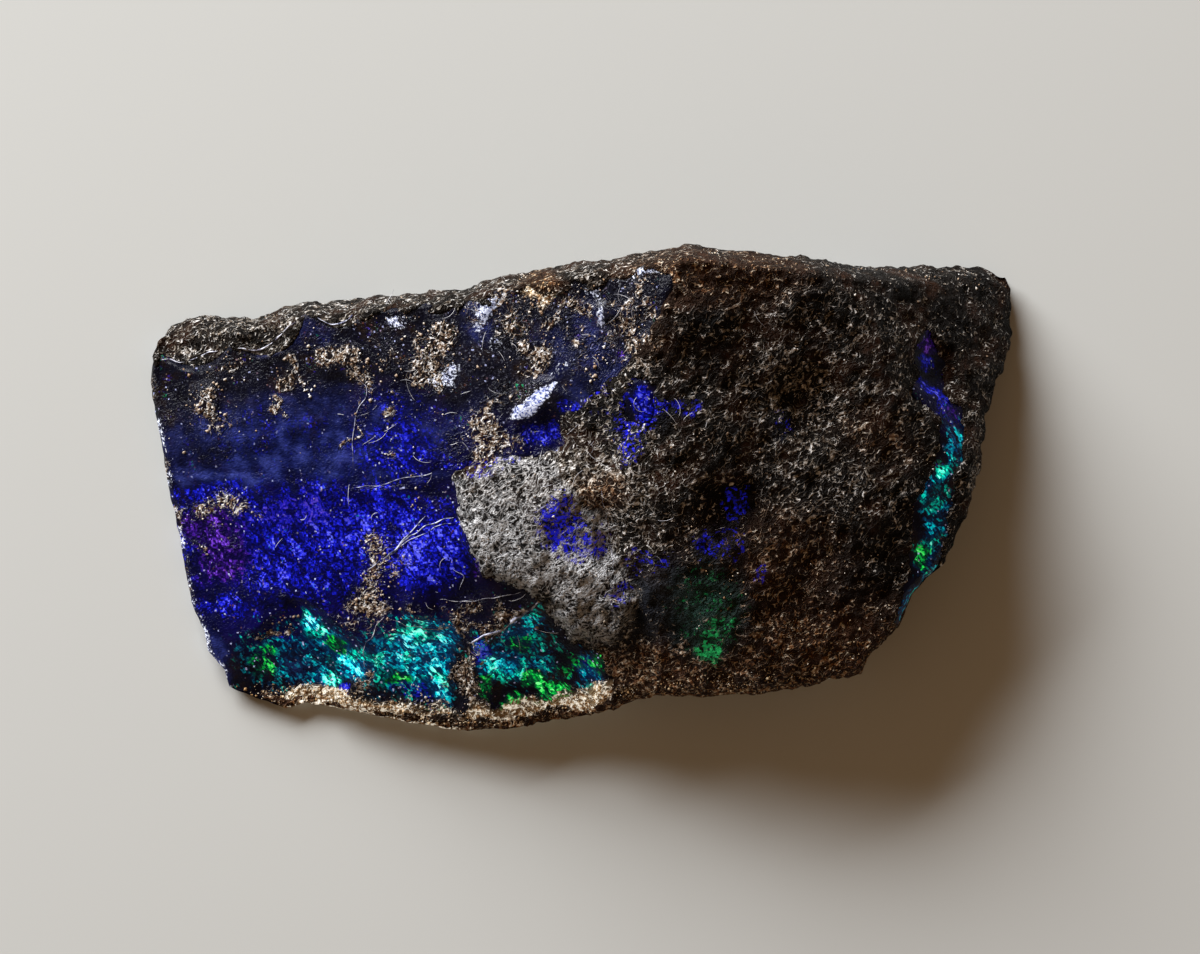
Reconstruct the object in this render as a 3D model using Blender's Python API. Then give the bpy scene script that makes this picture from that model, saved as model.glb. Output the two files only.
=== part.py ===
"""A rough boulder opal: one broken piece of ironstone with a seam of opal on its left half.

The stone lies on a flat facet of its underside, with its long side along X and its broken
front along -Y.  All the shape is worked out in millimetres and turned to metres at the end.
"""

import bpy
import numpy as np

MM = 0.001

# Driving dimensions, in millimetres.
LENGTH = 45.0                # left tip to right tip
WIDTH = 25.1                 # front bulge to back bulge
THICKNESS = 11.6             # resting face to the highest point of the crest
LOWEST_RIM = 0.7             # the rim never comes closer to the ground than this

# Fineness of the facets.
COLUMNS = 70                 # steps along the front and back edges
ROWS = 38                    # steps along the left and right edges
FLANK_ROWS = 10              # steps from the rim down to the resting face

# The outline seen from above, drawn as four edges that share their corners.
BACK_EDGE = [
    (-21.7, 8.1), (-21.5, 8.8), (-20.7, 9.1), (-19.7, 9.2), (-17.7, 9.2), (-17.1, 9.0), (-16.5, 9.4),
    (-14.5, 9.9), (-11.4, 10.1), (-9.4, 10.3), (-6.3, 10.5), (-4.2, 11.1), (-1.1, 11.6), (2.5, 12.1),
    (5.1, 12.5), (6.1, 12.6), (8.2, 12.3), (11.3, 12.1), (14.6, 11.7), (17.2, 11.8), (21.0, 11.8),
    (22.3, 11.3),
]
RIGHT_EDGE = [
    (14.5, -9.4), (15.4, -7.9), (16.5, -7.0), (17.2, -5.3), (18.8, -3.7), (19.3, -2.7), (20.2, -0.4),
    (20.8, 1.9), (21.1, 3.1), (20.9, 3.8), (21.3, 4.8), (22.1, 6.7), (22.6, 8.4), (22.6, 10.6),
    (22.3, 11.3),
]
FRONT_EDGE = [
    (-18.5, -10.3), (-17.1, -11.0), (-15.6, -11.4), (-14.5, -11.1), (-12.5, -11.5), (-9.4, -12.1),
    (-7.3, -12.5), (-5.8, -12.6), (-4.2, -12.5), (-1.1, -11.9), (1.0, -11.5), (3.5, -10.7),
    (6.1, -10.6), (9.0, -10.5), (10.8, -10.2), (13.4, -9.8), (14.5, -9.4),
]
LEFT_EDGE = [
    (-18.5, -10.3), (-18.7, -9.5), (-19.6, -8.4), (-19.8, -7.4), (-20.5, -5.8), (-21.0, -2.7),
    (-21.5, -0.4), (-22.0, 2.7), (-22.4, 4.6), (-22.5, 5.8), (-22.3, 7.3), (-21.7, 8.1),
]

# The broad faces of the top: a point that each passes through, then its rise per
# millimetre along X and along Y.
FACES = {
    "opal face": ((3.0, 3.7, 10.4), (0.34, 0.15)),
    "right face": ((3.0, 3.7, 10.8), (-0.25, 0.20)),
    "front left bevel": ((-10.4, -11.9, 1.2), (0.19, 0.54)),
    "front right bevel": ((9.0, -10.7, 5.2), (-0.12, 0.75)),
    "right corner": ((21.8, 9.0, 1.7), (-0.90, -0.35)),
}
CREASE = 0.7                 # how widely the edge between two faces is rounded
CHIP_SHARPNESS = 14.0        # how crisply one small chipped plane meets the next

# Conchoidal chips and scoops: centre X, centre Y, radius, depth.
CHIPS = [
    (-20.2, 8.8, 2.2, 1.1), (-16.4, 9.2, 2.1, 1.0), (-12.5, 9.9, 1.4, 0.8),
    (-14.5, -8.9, 3.1, 0.7), (-8.1, -9.2, 2.5, 0.6), (-2.1, -9.4, 3.3, 0.8),
    (-1.6, 2.6, 1.7, 0.6), (0.2, -2.2, 2.2, 0.6), (7.8, -1.0, 1.9, 0.6), (18.2, 6.4, 1.8, 0.7),
    (12.0, 4.6, 2.6, 0.5), (10.5, -6.2, 2.4, 0.5),
]

# Lumps: centre X, centre Y, radius along X, radius along Y, height.
LUMPS = [
    (-1.9, 4.9, 1.9, 1.2, 0.5), (-5.2, 9.4, 1.2, 1.0, 0.4), (1.2, 9.1, 1.3, 1.1, 0.5),
    (-8.4, -6.6, 1.1, 3.0, 0.5), (-5.2, -8.6, 0.9, 2.2, 0.4), (-19.6, 5.0, 1.4, 1.3, 0.35),
    (-12.0, 6.6, 1.6, 1.3, 0.35), (6.6, 8.8, 1.7, 2.2, 0.5), (13.6, 9.6, 2.2, 1.2, 0.4),
    (14.4, -2.8, 2.0, 3.2, 0.5),
]

# Ironstone that stands proud of the opal: how far, how wide its steep edge is, its corners.
LEDGES = {
    "middle slab": (0.55, 0.5, [
        (-6.5, 0.6), (-4.2, 1.9), (-1.1, 1.1), (1.0, -1.4), (1.2, -3.6), (3.0, -5.6), (2.2, -7.7),
        (-0.6, -7.6), (-1.9, -5.8), (-3.2, -5.1), (-5.2, -4.3), (-6.3, -2.5),
    ]),
    "right field": (0.35, 0.7, [
        (5.2, 14.0), (3.2, 8.6), (1.4, 5.0), (2.6, 3.6), (1.6, 1.4), (3.4, -1.6), (2.8, -5.2),
        (3.4, -8.0), (3.6, -14.0), (25.0, -14.0), (25.0, 14.0),
    ]),
}

# How each edge breaks away from the top: width of the break, then its drop.
RIM_BREAKS = {"front": (0.45, 0.5), "right": (0.7, 0.9), "back": (1.0, 3.4), "left": (0.5, 0.7)}
FULL_BREAK_HEIGHT = 6.0      # where the top is lower than this, its edges break away less

# The flanks lean in below the rim by this much at the ground, for each edge.
UNDERCUT = {"front": 1.6, "right": 2.6, "back": 1.7, "left": 0.7}
FULL_LEAN_RIM = 4.5          # a rim lower than this has less of the lean and of the ledge
LEDGE_DOWN = 0.36            # a ledge of harder rock runs round the flanks this far down
LEDGE_DEPTH = 0.55           # and stands out this far over the rock below it
FLANK_ROUGHNESS = 0.45       # the small chipped planes of the flanks

# Broken planes that cut the flanks: direction that each faces, in degrees from +X, how far
# it leans under in degrees, and how far from the middle it lies at the ground.
BREAKS = [
    (-8, 38, 17.2), (-38, 30, 16.0), (22, 24, 19.6), (-78, 42, 8.4), (-100, 35, 9.6),
    (78, 26, 10.2), (98, 30, 9.8), (112, 20, 11.6), (168, 28, 20.6), (205, 35, 19.2),
]


def smooth_step(t):
    """Rises from 0 to 1 with level ends."""
    t = np.clip(t, 0.0, 1.0)
    return t * t * (3.0 - 2.0 * t)


def lower_of(a, b, crease):
    """The lower of two heights, rounded over a band where they are nearly equal."""
    share = np.clip(0.5 + 0.5 * (b - a) / crease, 0.0, 1.0)
    return b + (a - b) * share - crease * share * (1.0 - share)


def grain(x, y, z, cell, seed):
    """Smooth random relief from -1 to 1: random values on a cubic lattice, eased between."""
    values = np.random.RandomState(seed).uniform(-1.0, 1.0, (32, 32, 32))
    total = np.zeros(np.broadcast(x, y, z).shape)
    base = [np.floor(c / cell).astype(int) for c in (x, y, z)]
    part = [smooth_step(c / cell - b) for c, b in zip((x, y, z), base)]
    for corner in np.ndindex(2, 2, 2):
        weight = np.ones_like(total)
        for axis in range(3):
            weight = weight * (part[axis] if corner[axis] else 1.0 - part[axis])
        at = [(base[axis] + corner[axis]) % 32 for axis in range(3)]
        total += weight * values[at[0], at[1], at[2]]
    return total


def chipped(x, y, z, cell, seed):
    """Broken relief from about -1 to 1: a tilted plane round each of many scattered centres,
    weighted so steeply by distance that the nearest plane shows, with worn creases between."""
    draw = np.random.RandomState(seed)
    centres = draw.uniform(0.1, 0.9, (16, 16, 16, 3))
    tilts = draw.uniform(-1.4, 1.4, (16, 16, 16, 3))
    place = np.stack(np.broadcast_arrays(x, y, z), axis=-1) / cell
    home = np.floor(place).astype(int)
    total = np.zeros(place.shape[:-1])
    weights = np.full(place.shape[:-1], 1e-9)
    for step in np.ndindex(3, 3, 3):
        box = home + np.array(step) - 1
        key = tuple(np.moveaxis(box % 16, -1, 0))
        away = place - box - centres[key]
        weight = np.exp(-CHIP_SHARPNESS * (away**2).sum(axis=-1))
        total += weight * (away * tilts[key]).sum(axis=-1)
        weights += weight
    return total / weights


def stations(count, crowding):
    """Fractions from 0 to 1 that lie closer together towards both ends."""
    t = np.linspace(0.0, 1.0, count + 1)
    return t - crowding * np.sin(2.0 * np.pi * t) / (2.0 * np.pi)


def along(edge, fractions):
    """Points at the given fractions of a drawn edge's length."""
    points = np.array(edge)
    steps = np.hypot(np.diff(points[:, 0]), np.diff(points[:, 1]))
    run = np.concatenate([[0.0], np.cumsum(steps)])
    at = fractions * run[-1]
    return np.stack([np.interp(at, run, points[:, 0]), np.interp(at, run, points[:, 1])], axis=-1)


def spread_over_outline(u, v):
    """Coons patch: blends opposite edges and takes the corners away once."""
    front, back = along(FRONT_EDGE, u), along(BACK_EDGE, u)
    left, right = along(LEFT_EDGE, v), along(RIGHT_EDGE, v)
    u = u[:, None, None]
    v = v[None, :, None]
    lengthwise = (1 - v) * front[:, None] + v * back[:, None]
    crosswise = (1 - u) * left[None] + u * right[None]
    corners = (
        (1 - u) * (1 - v) * front[0] + u * (1 - v) * front[-1] + (1 - u) * v * back[0] + u * v * back[-1]
    )
    return lengthwise + crosswise - corners


def broad_faces(x, y):
    """The lowest of the broad planes at each point."""
    height = None
    for (at_x, at_y, at_z), (rise_x, rise_y) in FACES.values():
        plane = at_z + rise_x * (x - at_x) + rise_y * (y - at_y)
        height = plane if height is None else lower_of(height, plane, CREASE)
    return height


def chips_and_lumps(x, y):
    """Bowls taken out of the surface, and rounded lumps added to it."""
    relief = np.zeros_like(x)
    for at_x, at_y, radius, depth in CHIPS:
        near = ((x - at_x) ** 2 + (y - at_y) ** 2) / radius**2
        relief -= depth * np.sqrt(np.clip(1.0 - near, 0.0, 1.0))
    for at_x, at_y, radius_x, radius_y, rise in LUMPS:
        near = ((x - at_x) / radius_x) ** 2 + ((y - at_y) / radius_y) ** 2
        relief += rise * smooth_step(1.0 - near)
    return relief


def depth_inside(x, y, corners):
    """Distance in from the nearest side of a polygon; negative outside it."""
    corners = np.array(corners)
    nearest = np.full(x.shape, np.inf)
    inside = np.zeros(x.shape, bool)
    for (ax, ay), (bx, by) in zip(corners, np.roll(corners, -1, axis=0)):
        side = np.array([bx - ax, by - ay])
        t = ((x - ax) * side[0] + (y - ay) * side[1]) / (side @ side)
        t = np.clip(t, 0.0, 1.0)
        nearest = np.minimum(nearest, np.hypot(x - ax - t * side[0], y - ay - t * side[1]))
        crosses = (ay > y) != (by > y)
        slope = (bx - ax) / (by - ay) if by != ay else 0.0
        inside ^= crosses & (x < ax + slope * (y - ay))
    return np.where(inside, nearest, -nearest)


def rim_drop(u, v, plan):
    """How far the surface has broken away near each edge, by the distance to that edge."""
    across = np.linalg.norm(plan[:, -1] - plan[:, 0], axis=-1)[:, None]
    along_it = np.linalg.norm(plan[-1] - plan[0], axis=-1)[None, :]
    u = u[:, None]
    v = v[None, :]
    distance = {
        "front": v * across, "back": (1 - v) * across, "left": u * along_it, "right": (1 - u) * along_it,
    }
    drop = np.zeros(plan.shape[:2])
    for name, (width, depth) in RIM_BREAKS.items():
        out = np.clip(1.0 - distance[name] / width, 0.0, 1.0)
        drop = np.maximum(drop, depth * out**1.5)
    return drop


def top_surface(u, v):
    """The top as a grid of points: columns along X, rows from front to back."""
    plan = spread_over_outline(u, v)
    x, y = plan[..., 0], plan[..., 1]
    height = broad_faces(x, y) + chips_and_lumps(x, y)
    for rise, slope, corners in LEDGES.values():
        height += rise * smooth_step(depth_inside(x, y, corners) / slope)
    rock = smooth_step((x + 3.0) / 4.0)
    flat = np.zeros_like(x)
    height += (0.12 + 0.13 * rock) * grain(x, y, flat, 3.1, 11)
    height += (0.04 + 0.14 * rock) * grain(x, y, flat, 1.3, 12)
    height += (0.02 + 0.20 * rock) * chipped(x, y, flat, 3.4, 13)
    height -= rim_drop(u, v, plan) * np.clip(height / FULL_BREAK_HEIGHT, 0.0, 1.0)
    height = np.maximum(height, LOWEST_RIM)
    return np.stack([x, y, height], axis=-1)


def around(grid):
    """The border of a grid, counterclockwise seen from above."""
    return np.concatenate([grid[:-1, 0], grid[-1, :-1], grid[:0:-1, -1], grid[0, :0:-1]])


def undercut_around(columns, rows):
    """The lean of each flank at the ground, eased where two edges meet."""
    runs = [("front", columns), ("right", rows), ("back", columns), ("left", rows)]
    lean = np.concatenate([np.full(count, UNDERCUT[name]) for name, count in runs])
    window = np.ones(13) / 13.0
    wrapped = np.concatenate([lean[-6:], lean, lean[:6]])
    return np.convolve(wrapped, window, mode="valid")


def outward(ring):
    """Unit directions in plan, square to the rim and pointing away from the stone."""
    ahead = np.roll(ring, -4, axis=0)[:, :2] - np.roll(ring, 4, axis=0)[:, :2]
    normal = np.stack([ahead[:, 1], -ahead[:, 0]], axis=-1)
    return normal / np.linalg.norm(normal, axis=-1, keepdims=True)


def flank(rim):
    """Rings from the rim down to the resting face: they lean in, step back below the ledge,
    are cut by the broken planes and then roughened."""
    away = outward(rim)
    lean = undercut_around(COLUMNS, ROWS)
    share = np.clip(rim[:, 2] / FULL_LEAN_RIM, 0.15, 1.0)
    ledge = LEDGE_DOWN + 0.16 * grain(rim[:, 0], rim[:, 1], 0.0 * rim[:, 2], 5.0, 23)
    rings = []
    for row in range(1, FLANK_ROWS + 1):
        down = row / FLANK_ROWS
        ring = rim.copy()
        ring[:, 2] = rim[:, 2] * (1.0 - down)
        inward = share * (lean * down**1.4 + LEDGE_DEPTH * smooth_step((down - ledge) / 0.12))
        ring[:, :2] -= away * inward[:, None]
        ring = cut_by_breaks(ring, rim)
        rough = 0.4 * grain(*ring.T, 2.4, 21) + chipped(*ring.T, 3.2, 22)
        rough *= FLANK_ROUGHNESS * smooth_step(down * 3.0)
        ring[:, :2] += away * np.minimum(rough, 0.8 * inward)[:, None]
        rings.append(ring)
    return rings


def cut_by_breaks(ring, rim):
    """Moves points beyond a broken plane back onto it, but never past the rim's own outline."""
    ring = ring.copy()
    for direction, lean, reach in BREAKS:
        angle, tilt = np.radians(direction), np.radians(lean)
        facing = np.array([np.cos(angle), np.sin(angle)])
        beyond = ring[:, :2] @ facing - reach - ring[:, 2] * np.tan(tilt)
        near = rim[:, :2] @ facing - reach - rim[:, 2] * np.tan(tilt)
        ring[:, :2] -= np.maximum(beyond - np.maximum(near, 0.0), 0.0)[:, None] * facing
    return ring


def stone_mesh():
    """Joins the top, the flanks and the resting face into one closed skin."""
    u, v = stations(COLUMNS, 0.35), stations(ROWS, 0.6)
    top = top_surface(u, v)
    index = np.arange(top[..., 0].size).reshape(top.shape[:2])
    quads = np.stack([index[:-1, :-1], index[1:, :-1], index[1:, 1:], index[:-1, 1:]], axis=-1)
    faces = quads.reshape(-1, 4).tolist()

    points = [top.reshape(-1, 3)]
    upper = around(index)
    count = index.size
    for ring in flank(around(top)):
        lower = count + np.arange(len(ring))
        band = np.stack([upper, lower, np.roll(lower, -1), np.roll(upper, -1)], axis=-1)
        faces += band.tolist()
        points.append(ring)
        upper = lower
        count += len(ring)
    faces.append(upper[::-1].tolist())
    return np.concatenate(points), faces


def fit_to_size(points):
    """Stretches the skin to the driving dimensions, standing on Z = 0 over the origin."""
    low, high = points.min(axis=0), points.max(axis=0)
    middle = (low + high) / 2.0
    middle[2] = low[2]
    return (points - middle) * np.array([LENGTH, WIDTH, THICKNESS]) / (high - low)


def stone_material():
    """Dark brown ironstone, rough and dull."""
    material = bpy.data.materials.new("boulder_opal")
    material.use_nodes = True
    shader = material.node_tree.nodes["Principled BSDF"]
    shader.inputs["Base Color"].default_value = (0.045, 0.036, 0.030, 1.0)
    shader.inputs["Roughness"].default_value = 0.6
    shader.inputs["Metallic"].default_value = 0.0
    return material


def build_stone():
    """The stone as one object."""
    points, faces = stone_mesh()
    points = fit_to_size(points) * MM
    mesh = bpy.data.meshes.new("boulder_opal")
    mesh.from_pydata(points.tolist(), [], faces)
    mesh.validate()
    mesh.shade_smooth()
    mesh.set_sharp_from_angle(angle=np.radians(28.0))
    mesh.materials.append(stone_material())
    stone = bpy.data.objects.new("boulder_opal", mesh)
    bpy.context.collection.objects.link(stone)


for old in list(bpy.data.objects):
    bpy.data.objects.remove(old, do_unlink=True)
build_stone()
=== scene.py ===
"""The finish of a rough boulder opal: broken ironstone with a glassy seam of opal on its left face.

Places on the stone are in millimetres, X to the right along the stone and Y to its back
edge, from the middle of its outline.  Meshes are turned to metres as they are made.
"""

import bpy
import numpy as np
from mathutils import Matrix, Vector


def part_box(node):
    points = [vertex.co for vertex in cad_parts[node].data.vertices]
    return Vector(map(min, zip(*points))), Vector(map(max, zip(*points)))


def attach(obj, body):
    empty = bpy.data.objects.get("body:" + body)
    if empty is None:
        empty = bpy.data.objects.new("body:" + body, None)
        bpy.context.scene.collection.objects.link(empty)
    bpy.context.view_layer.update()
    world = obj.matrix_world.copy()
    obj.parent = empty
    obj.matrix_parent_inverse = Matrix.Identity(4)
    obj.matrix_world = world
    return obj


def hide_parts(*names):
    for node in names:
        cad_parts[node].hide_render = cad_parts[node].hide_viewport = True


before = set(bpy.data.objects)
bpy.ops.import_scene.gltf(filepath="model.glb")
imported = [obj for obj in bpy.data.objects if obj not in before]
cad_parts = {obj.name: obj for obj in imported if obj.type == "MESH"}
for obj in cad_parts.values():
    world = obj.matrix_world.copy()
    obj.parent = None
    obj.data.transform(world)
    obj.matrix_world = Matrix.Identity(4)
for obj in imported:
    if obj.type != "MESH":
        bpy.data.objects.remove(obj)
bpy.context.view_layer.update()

# ---------------------------------------------------------------------------------------
# The block of ironstone.
# The whole stone: one broken piece of dark brown, sandy ironstone.  Its top is a few broad
# faces with chips, lumps and ledges; its flanks lean in to the face that it rests on.

MM = 0.001
COLUMNS = 340                # fine steps along the front and back edges
ROWS = 168                   # fine steps along the left and right edges
FLANK_ROWS = 34              # fine steps from the rim to the ground
UNDER_STEP = 4               # a hidden underside has one step for this many fine ones

BACK_EDGE = [
    (-21.7, 8.1), (-21.5, 8.8), (-20.7, 9.1), (-19.7, 9.2), (-17.7, 9.2), (-17.1, 9.0),
    (-16.5, 9.4), (-14.5, 9.9), (-11.4, 10.1), (-9.4, 10.3), (-6.3, 10.5), (-4.2, 11.1),
    (-1.1, 11.6), (2.5, 12.1), (5.1, 12.5), (6.1, 12.6), (8.2, 12.3), (11.3, 12.1), (14.6, 11.7),
    (17.2, 11.8), (21.0, 11.8), (22.3, 11.3),
]
RIGHT_EDGE = [
    (14.5, -9.4), (15.4, -7.9), (16.5, -7.0), (17.2, -5.3), (18.8, -3.7), (19.3, -2.7),
    (20.2, -0.4), (20.8, 1.9), (21.1, 3.1), (20.9, 3.8), (21.3, 4.8), (22.1, 6.7), (22.6, 8.4),
    (22.6, 10.6), (22.3, 11.3),
]
FRONT_EDGE = [
    (-18.5, -10.3), (-17.1, -11.0), (-15.6, -11.4), (-14.5, -11.1), (-12.5, -11.5), (-9.4, -12.1),
    (-7.3, -12.5), (-5.8, -12.6), (-4.2, -12.5), (-1.1, -11.9), (1.0, -11.5), (3.5, -10.7),
    (6.1, -10.6), (9.0, -10.5), (10.8, -10.2), (13.4, -9.8), (14.5, -9.4),
]
LEFT_EDGE = [
    (-18.5, -10.3), (-18.7, -9.5), (-19.6, -8.4), (-19.8, -7.4), (-20.5, -5.8), (-21.0, -2.7),
    (-21.5, -0.4), (-22.0, 2.7), (-22.4, 4.6), (-22.5, 5.8), (-22.3, 7.3), (-21.7, 8.1),
]
LOWEST_RIM = 0.7
NICKS = 0.07                 # how far the outline wanders from the drawn edges

# The broad faces: a point that each passes through, then its rise along X and along Y.
FACES = {
    "opal face": ((3.0, 3.7, 10.4), (0.34, 0.15)),
    "right face": ((3.0, 3.7, 10.8), (-0.25, 0.20)),
    "front left bevel": ((-10.4, -11.9, 1.2), (0.19, 0.54)),
    "front right bevel": ((9.0, -10.7, 5.2), (-0.12, 0.75)),
    "right corner": ((21.8, 9.0, 1.7), (-0.90, -0.35)),
}
CREASE = 0.7
CHIP_SHARPNESS = 14.0
CHIP_STEEPNESS = 0.62        # a half is a round bowl, one is a shallow dish

# Conchoidal chips with crisp rims, then worn hollows: centre X, centre Y, radius, depth.
# The chips along the back edge took the seam of opal away with them.
EDGE_CHIPS = [(-20.2, 8.8, 2.2, 1.1), (-16.4, 9.2, 2.1, 1.0), (-12.5, 9.9, 1.4, 0.8)]
CHIPS = EDGE_CHIPS + [(-14.5, -8.9, 3.1, 0.7), (-8.1, -9.2, 2.5, 0.6), (-2.1, -9.4, 3.3, 0.8)]
HOLLOWS = [
    (-1.6, 2.6, 1.7, 0.6), (0.2, -2.2, 2.2, 0.6), (7.8, -1.0, 1.9, 0.6), (18.2, 6.4, 1.8, 0.7),
    (12.0, 4.6, 2.6, 0.5), (10.5, -6.2, 2.4, 0.5),
]

# Lumps: centre X, centre Y, radius along X, radius along Y, height.
LUMPS = [
    (-1.9, 4.9, 1.9, 1.2, 0.5), (-5.2, 9.4, 1.2, 1.0, 0.4), (1.2, 9.1, 1.3, 1.1, 0.5),
    (-8.4, -6.6, 1.1, 3.0, 0.5), (-5.2, -8.6, 0.9, 2.2, 0.4), (-19.6, 5.0, 1.4, 1.3, 0.35),
    (-12.0, 6.6, 1.6, 1.3, 0.35), (6.6, 8.8, 1.7, 2.2, 0.5), (13.6, 9.6, 2.2, 1.2, 0.4),
    (14.4, -2.8, 2.0, 3.2, 0.5),
]
LUMP_SHARE = 0.6             # the lumps are worn down to this share of their height

# Ironstone that stands proud of the opal: how far, how wide its steep edge is, its corners.
LEDGES = {
    "middle slab": (0.55, 0.5, [
        (-6.5, 0.6), (-4.2, 1.9), (-1.1, 1.1), (1.0, -1.4), (1.2, -3.6), (3.0, -5.6), (2.2, -7.7),
        (-0.6, -7.6), (-1.9, -5.8), (-3.2, -5.1), (-5.2, -4.3), (-6.3, -2.5),
    ]),
    "right field": (0.35, 0.7, [
        (5.2, 14.0), (3.2, 8.6), (1.4, 5.0), (2.6, 3.6), (1.6, 1.4), (3.4, -1.6), (2.8, -5.2),
        (3.4, -8.0), (3.6, -14.0), (25.0, -14.0), (25.0, 14.0),
    ]),
}

# How each edge breaks away from the top: width of the break, then its drop.
RIM_BREAKS = {"front": (0.45, 0.5), "right": (0.7, 0.9), "back": (1.0, 3.4), "left": (0.5, 0.7)}
FULL_BREAK_HEIGHT = 6.0      # where the top is lower than this, its edges break away less
UNDERCUT = {"front": 1.6, "right": 2.6, "back": 1.7, "left": 0.7}
FULL_LEAN_RIM = 4.5          # a rim lower than this has less of the lean and of the ledge
LEDGE_DOWN = 0.36
LEDGE_DEPTH = 0.55
FLANK_ROUGHNESS = 0.45
BAND_HEIGHT = 1.1            # the seam shows this far down the left and front left flanks
BAND_END = 0.38              # and along this share of the front edge
RIM_INSET = 0.2              # there the rock's rim stands back this far
BAND_INSET = 0.22            # and the flank below it this much further
UNDERSIDE_INSET = 0.45       # the coarse underside begins this far inside the last ring

# Broken planes that cut the flanks: direction faced, lean under it, reach at the ground.
BREAKS = [
    (-8, 38, 17.2), (-38, 30, 16.0), (22, 24, 19.6), (-78, 42, 8.4), (-100, 35, 9.6),
    (78, 26, 10.2), (98, 30, 9.8), (112, 20, 11.6), (168, 28, 20.6), (205, 35, 19.2),
]

# Where the seam of opal shows.  The main field, the scoop under the middle slab and the vein
# at the right end are polygons.  The windows are ovals: centre, half length, half width, turn.
OPAL_FIELDS = [
    [
        (-23.8, 7.9), (-21.3, 6.9), (-20.1, 6.8), (-18.6, 7.5), (-17.1, 7.2), (-15.3, 8.0),
        (-14.4, 8.9), (-13.4, 8.8), (-12.4, 8.6), (-11.4, 9.6), (-9.4, 9.9), (-5.8, 10.4),
        (-2.7, 11.1), (1.0, 11.6), (4.5, 11.9), (4.7, 10.7), (3.5, 8.1), (2.0, 6.2), (-0.1, 4.6),
        (-1.0, 3.8), (-1.2, 2.1), (-4.2, 1.8), (-5.8, 1.5), (-6.5, 0.9), (-6.2, -2.2), (-4.8, -4.5),
        (-2.1, -5.6), (-4.2, -7.3), (-5.6, -8.1), (-5.2, -9.2), (-3.8, -11.9), (-8.3, -11.6),
        (-12.5, -11.2), (-16.4, -10.8), (-18.6, -11.1), (-23.3, -11.1),
    ],
    [
        (-5.7, -8.1), (-4.2, -7.3), (-2.1, -5.6), (-1.5, -6.9), (-0.1, -8.2), (1.3, -8.9),
        (1.6, -10.7), (0.4, -11.4), (-1.3, -11.2), (-3.8, -11.9), (-4.3, -10.7), (-5.3, -9.1),
    ],
    [
        (17.5, 8.0), (17.2, 6.9), (17.8, 6.0), (17.2, 5.1), (18.1, 4.3), (18.8, 3.7), (18.6, 2.2),
        (18.1, 0.9), (17.4, -0.4), (17.1, -1.9), (17.1, -3.7), (16.7, -5.5), (16.3, -7.3),
        (16.6, -7.3), (17.2, -5.9), (17.9, -4.8), (18.6, -3.5), (18.9, -1.2), (19.3, 0.9),
        (19.7, 3.2), (19.6, 4.2), (18.6, 5.2), (18.7, 6.6), (18.2, 7.6), (18.0, 8.2),
    ],
]
OPAL_WINDOWS = [(-2.0, 2.9, 1.0, 0.9, 0), (-0.3, 4.4, 0.7, 0.4, 30), (3.1, 4.6, 0.5, 0.7, 0)]
SKIN_DEPTH = 0.38            # the seam lies this far under the rock's own surface

# Soft ovals where the rock is barer, sandier or warmer: centre, half sizes, turn, amount.
SMOOTH_ROCK = [
    (20.5, 8.5, 3.5, 5.0, 0, 0.22), (14.5, -5.0, 2.2, 3.6, -15, 0.25),
    (6.0, 7.5, 2.5, 3.5, 10, 0.12), (19.3, -3.0, 1.2, 4.5, 15, 0.25),
    (8.0, -1.0, 2.0, 2.5, 0, 0.15), (14.0, 11.3, 9.0, 1.3, -8, 0.28),
]
SANDY_ROCK = [
    (1.0, -0.5, 2.6, 3.5, 20, 0.3), (3.0, -9.3, 3.2, 1.6, 0, 0.25), (-1.2, 1.0, 3.0, 1.5, 0, 0.35),
    (11.0, 4.0, 3.5, 3.0, 30, 0.12), (2.5, 1.5, 1.8, 1.6, 0, 0.25), (12.5, 0.5, 3.0, 2.0, 0, 0.1),
    (10.0, -8.0, 6.0, 2.6, 0, 0.16),
]
WARM_ROCK = [
    (7.0, 11.0, 5.0, 1.6, 0, 0.8), (9.5, -4.0, 4.5, 3.2, 0, 0.6), (14.0, -7.5, 4.0, 2.2, 0, 0.6),
    (5.0, -9.5, 6.0, 1.6, 0, 0.8), (13.0, -8.0, 4.5, 2.0, 0, 0.8), (-2.1, 10.6, 1.0, 0.8, 0, 1.0),
    (3.5, 9.0, 1.6, 2.4, 0, 0.5), (15.5, 3.0, 2.0, 1.2, -20, 0.5), (0.6, -0.3, 1.6, 0.9, 20, 0.7),
]
# Opal between the grains of the rock, in the same way: blue flecks, green flecks, grey murk.
BLUE_TRACES = [
    (-1.3, -1.0, 0.9, 1.0, 0, 0.9), (-0.6, -2.3, 1.4, 1.1, -30, 1.0), (0.3, -3.2, 0.7, 0.5, 0, 0.9),
    (0.4, 5.4, 0.9, 0.5, 0, 0.8), (2.9, 4.4, 0.9, 1.1, 0, 0.9), (4.6, 4.3, 0.8, 0.5, 0, 0.5),
    (5.6, 3.8, 0.3, 0.3, 0, 0.9), (1.9, 2.6, 0.7, 1.5, 20, 0.45), (8.0, -0.9, 0.5, 1.0, 0, 0.5),
    (10.1, 3.6, 0.5, 0.6, 0, 0.4), (7.0, -2.8, 1.0, 0.8, 0, 0.5), (8.9, -4.0, 0.4, 0.5, 0, 0.4),
    (1.7, -5.0, 0.7, 0.6, 0, 0.5), (-3.9, 1.6, 2.0, 0.6, 20, 0.5), (3.4, -3.6, 1.2, 0.7, 0, 0.35),
]
GREEN_TRACES = [
    (6.4, -6.2, 1.7, 2.4, 0, 0.14), (6.4, -8.1, 0.6, 0.6, 0, 1.0), (6.8, -7.0, 0.5, 0.7, 0, 0.7),
]
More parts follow.
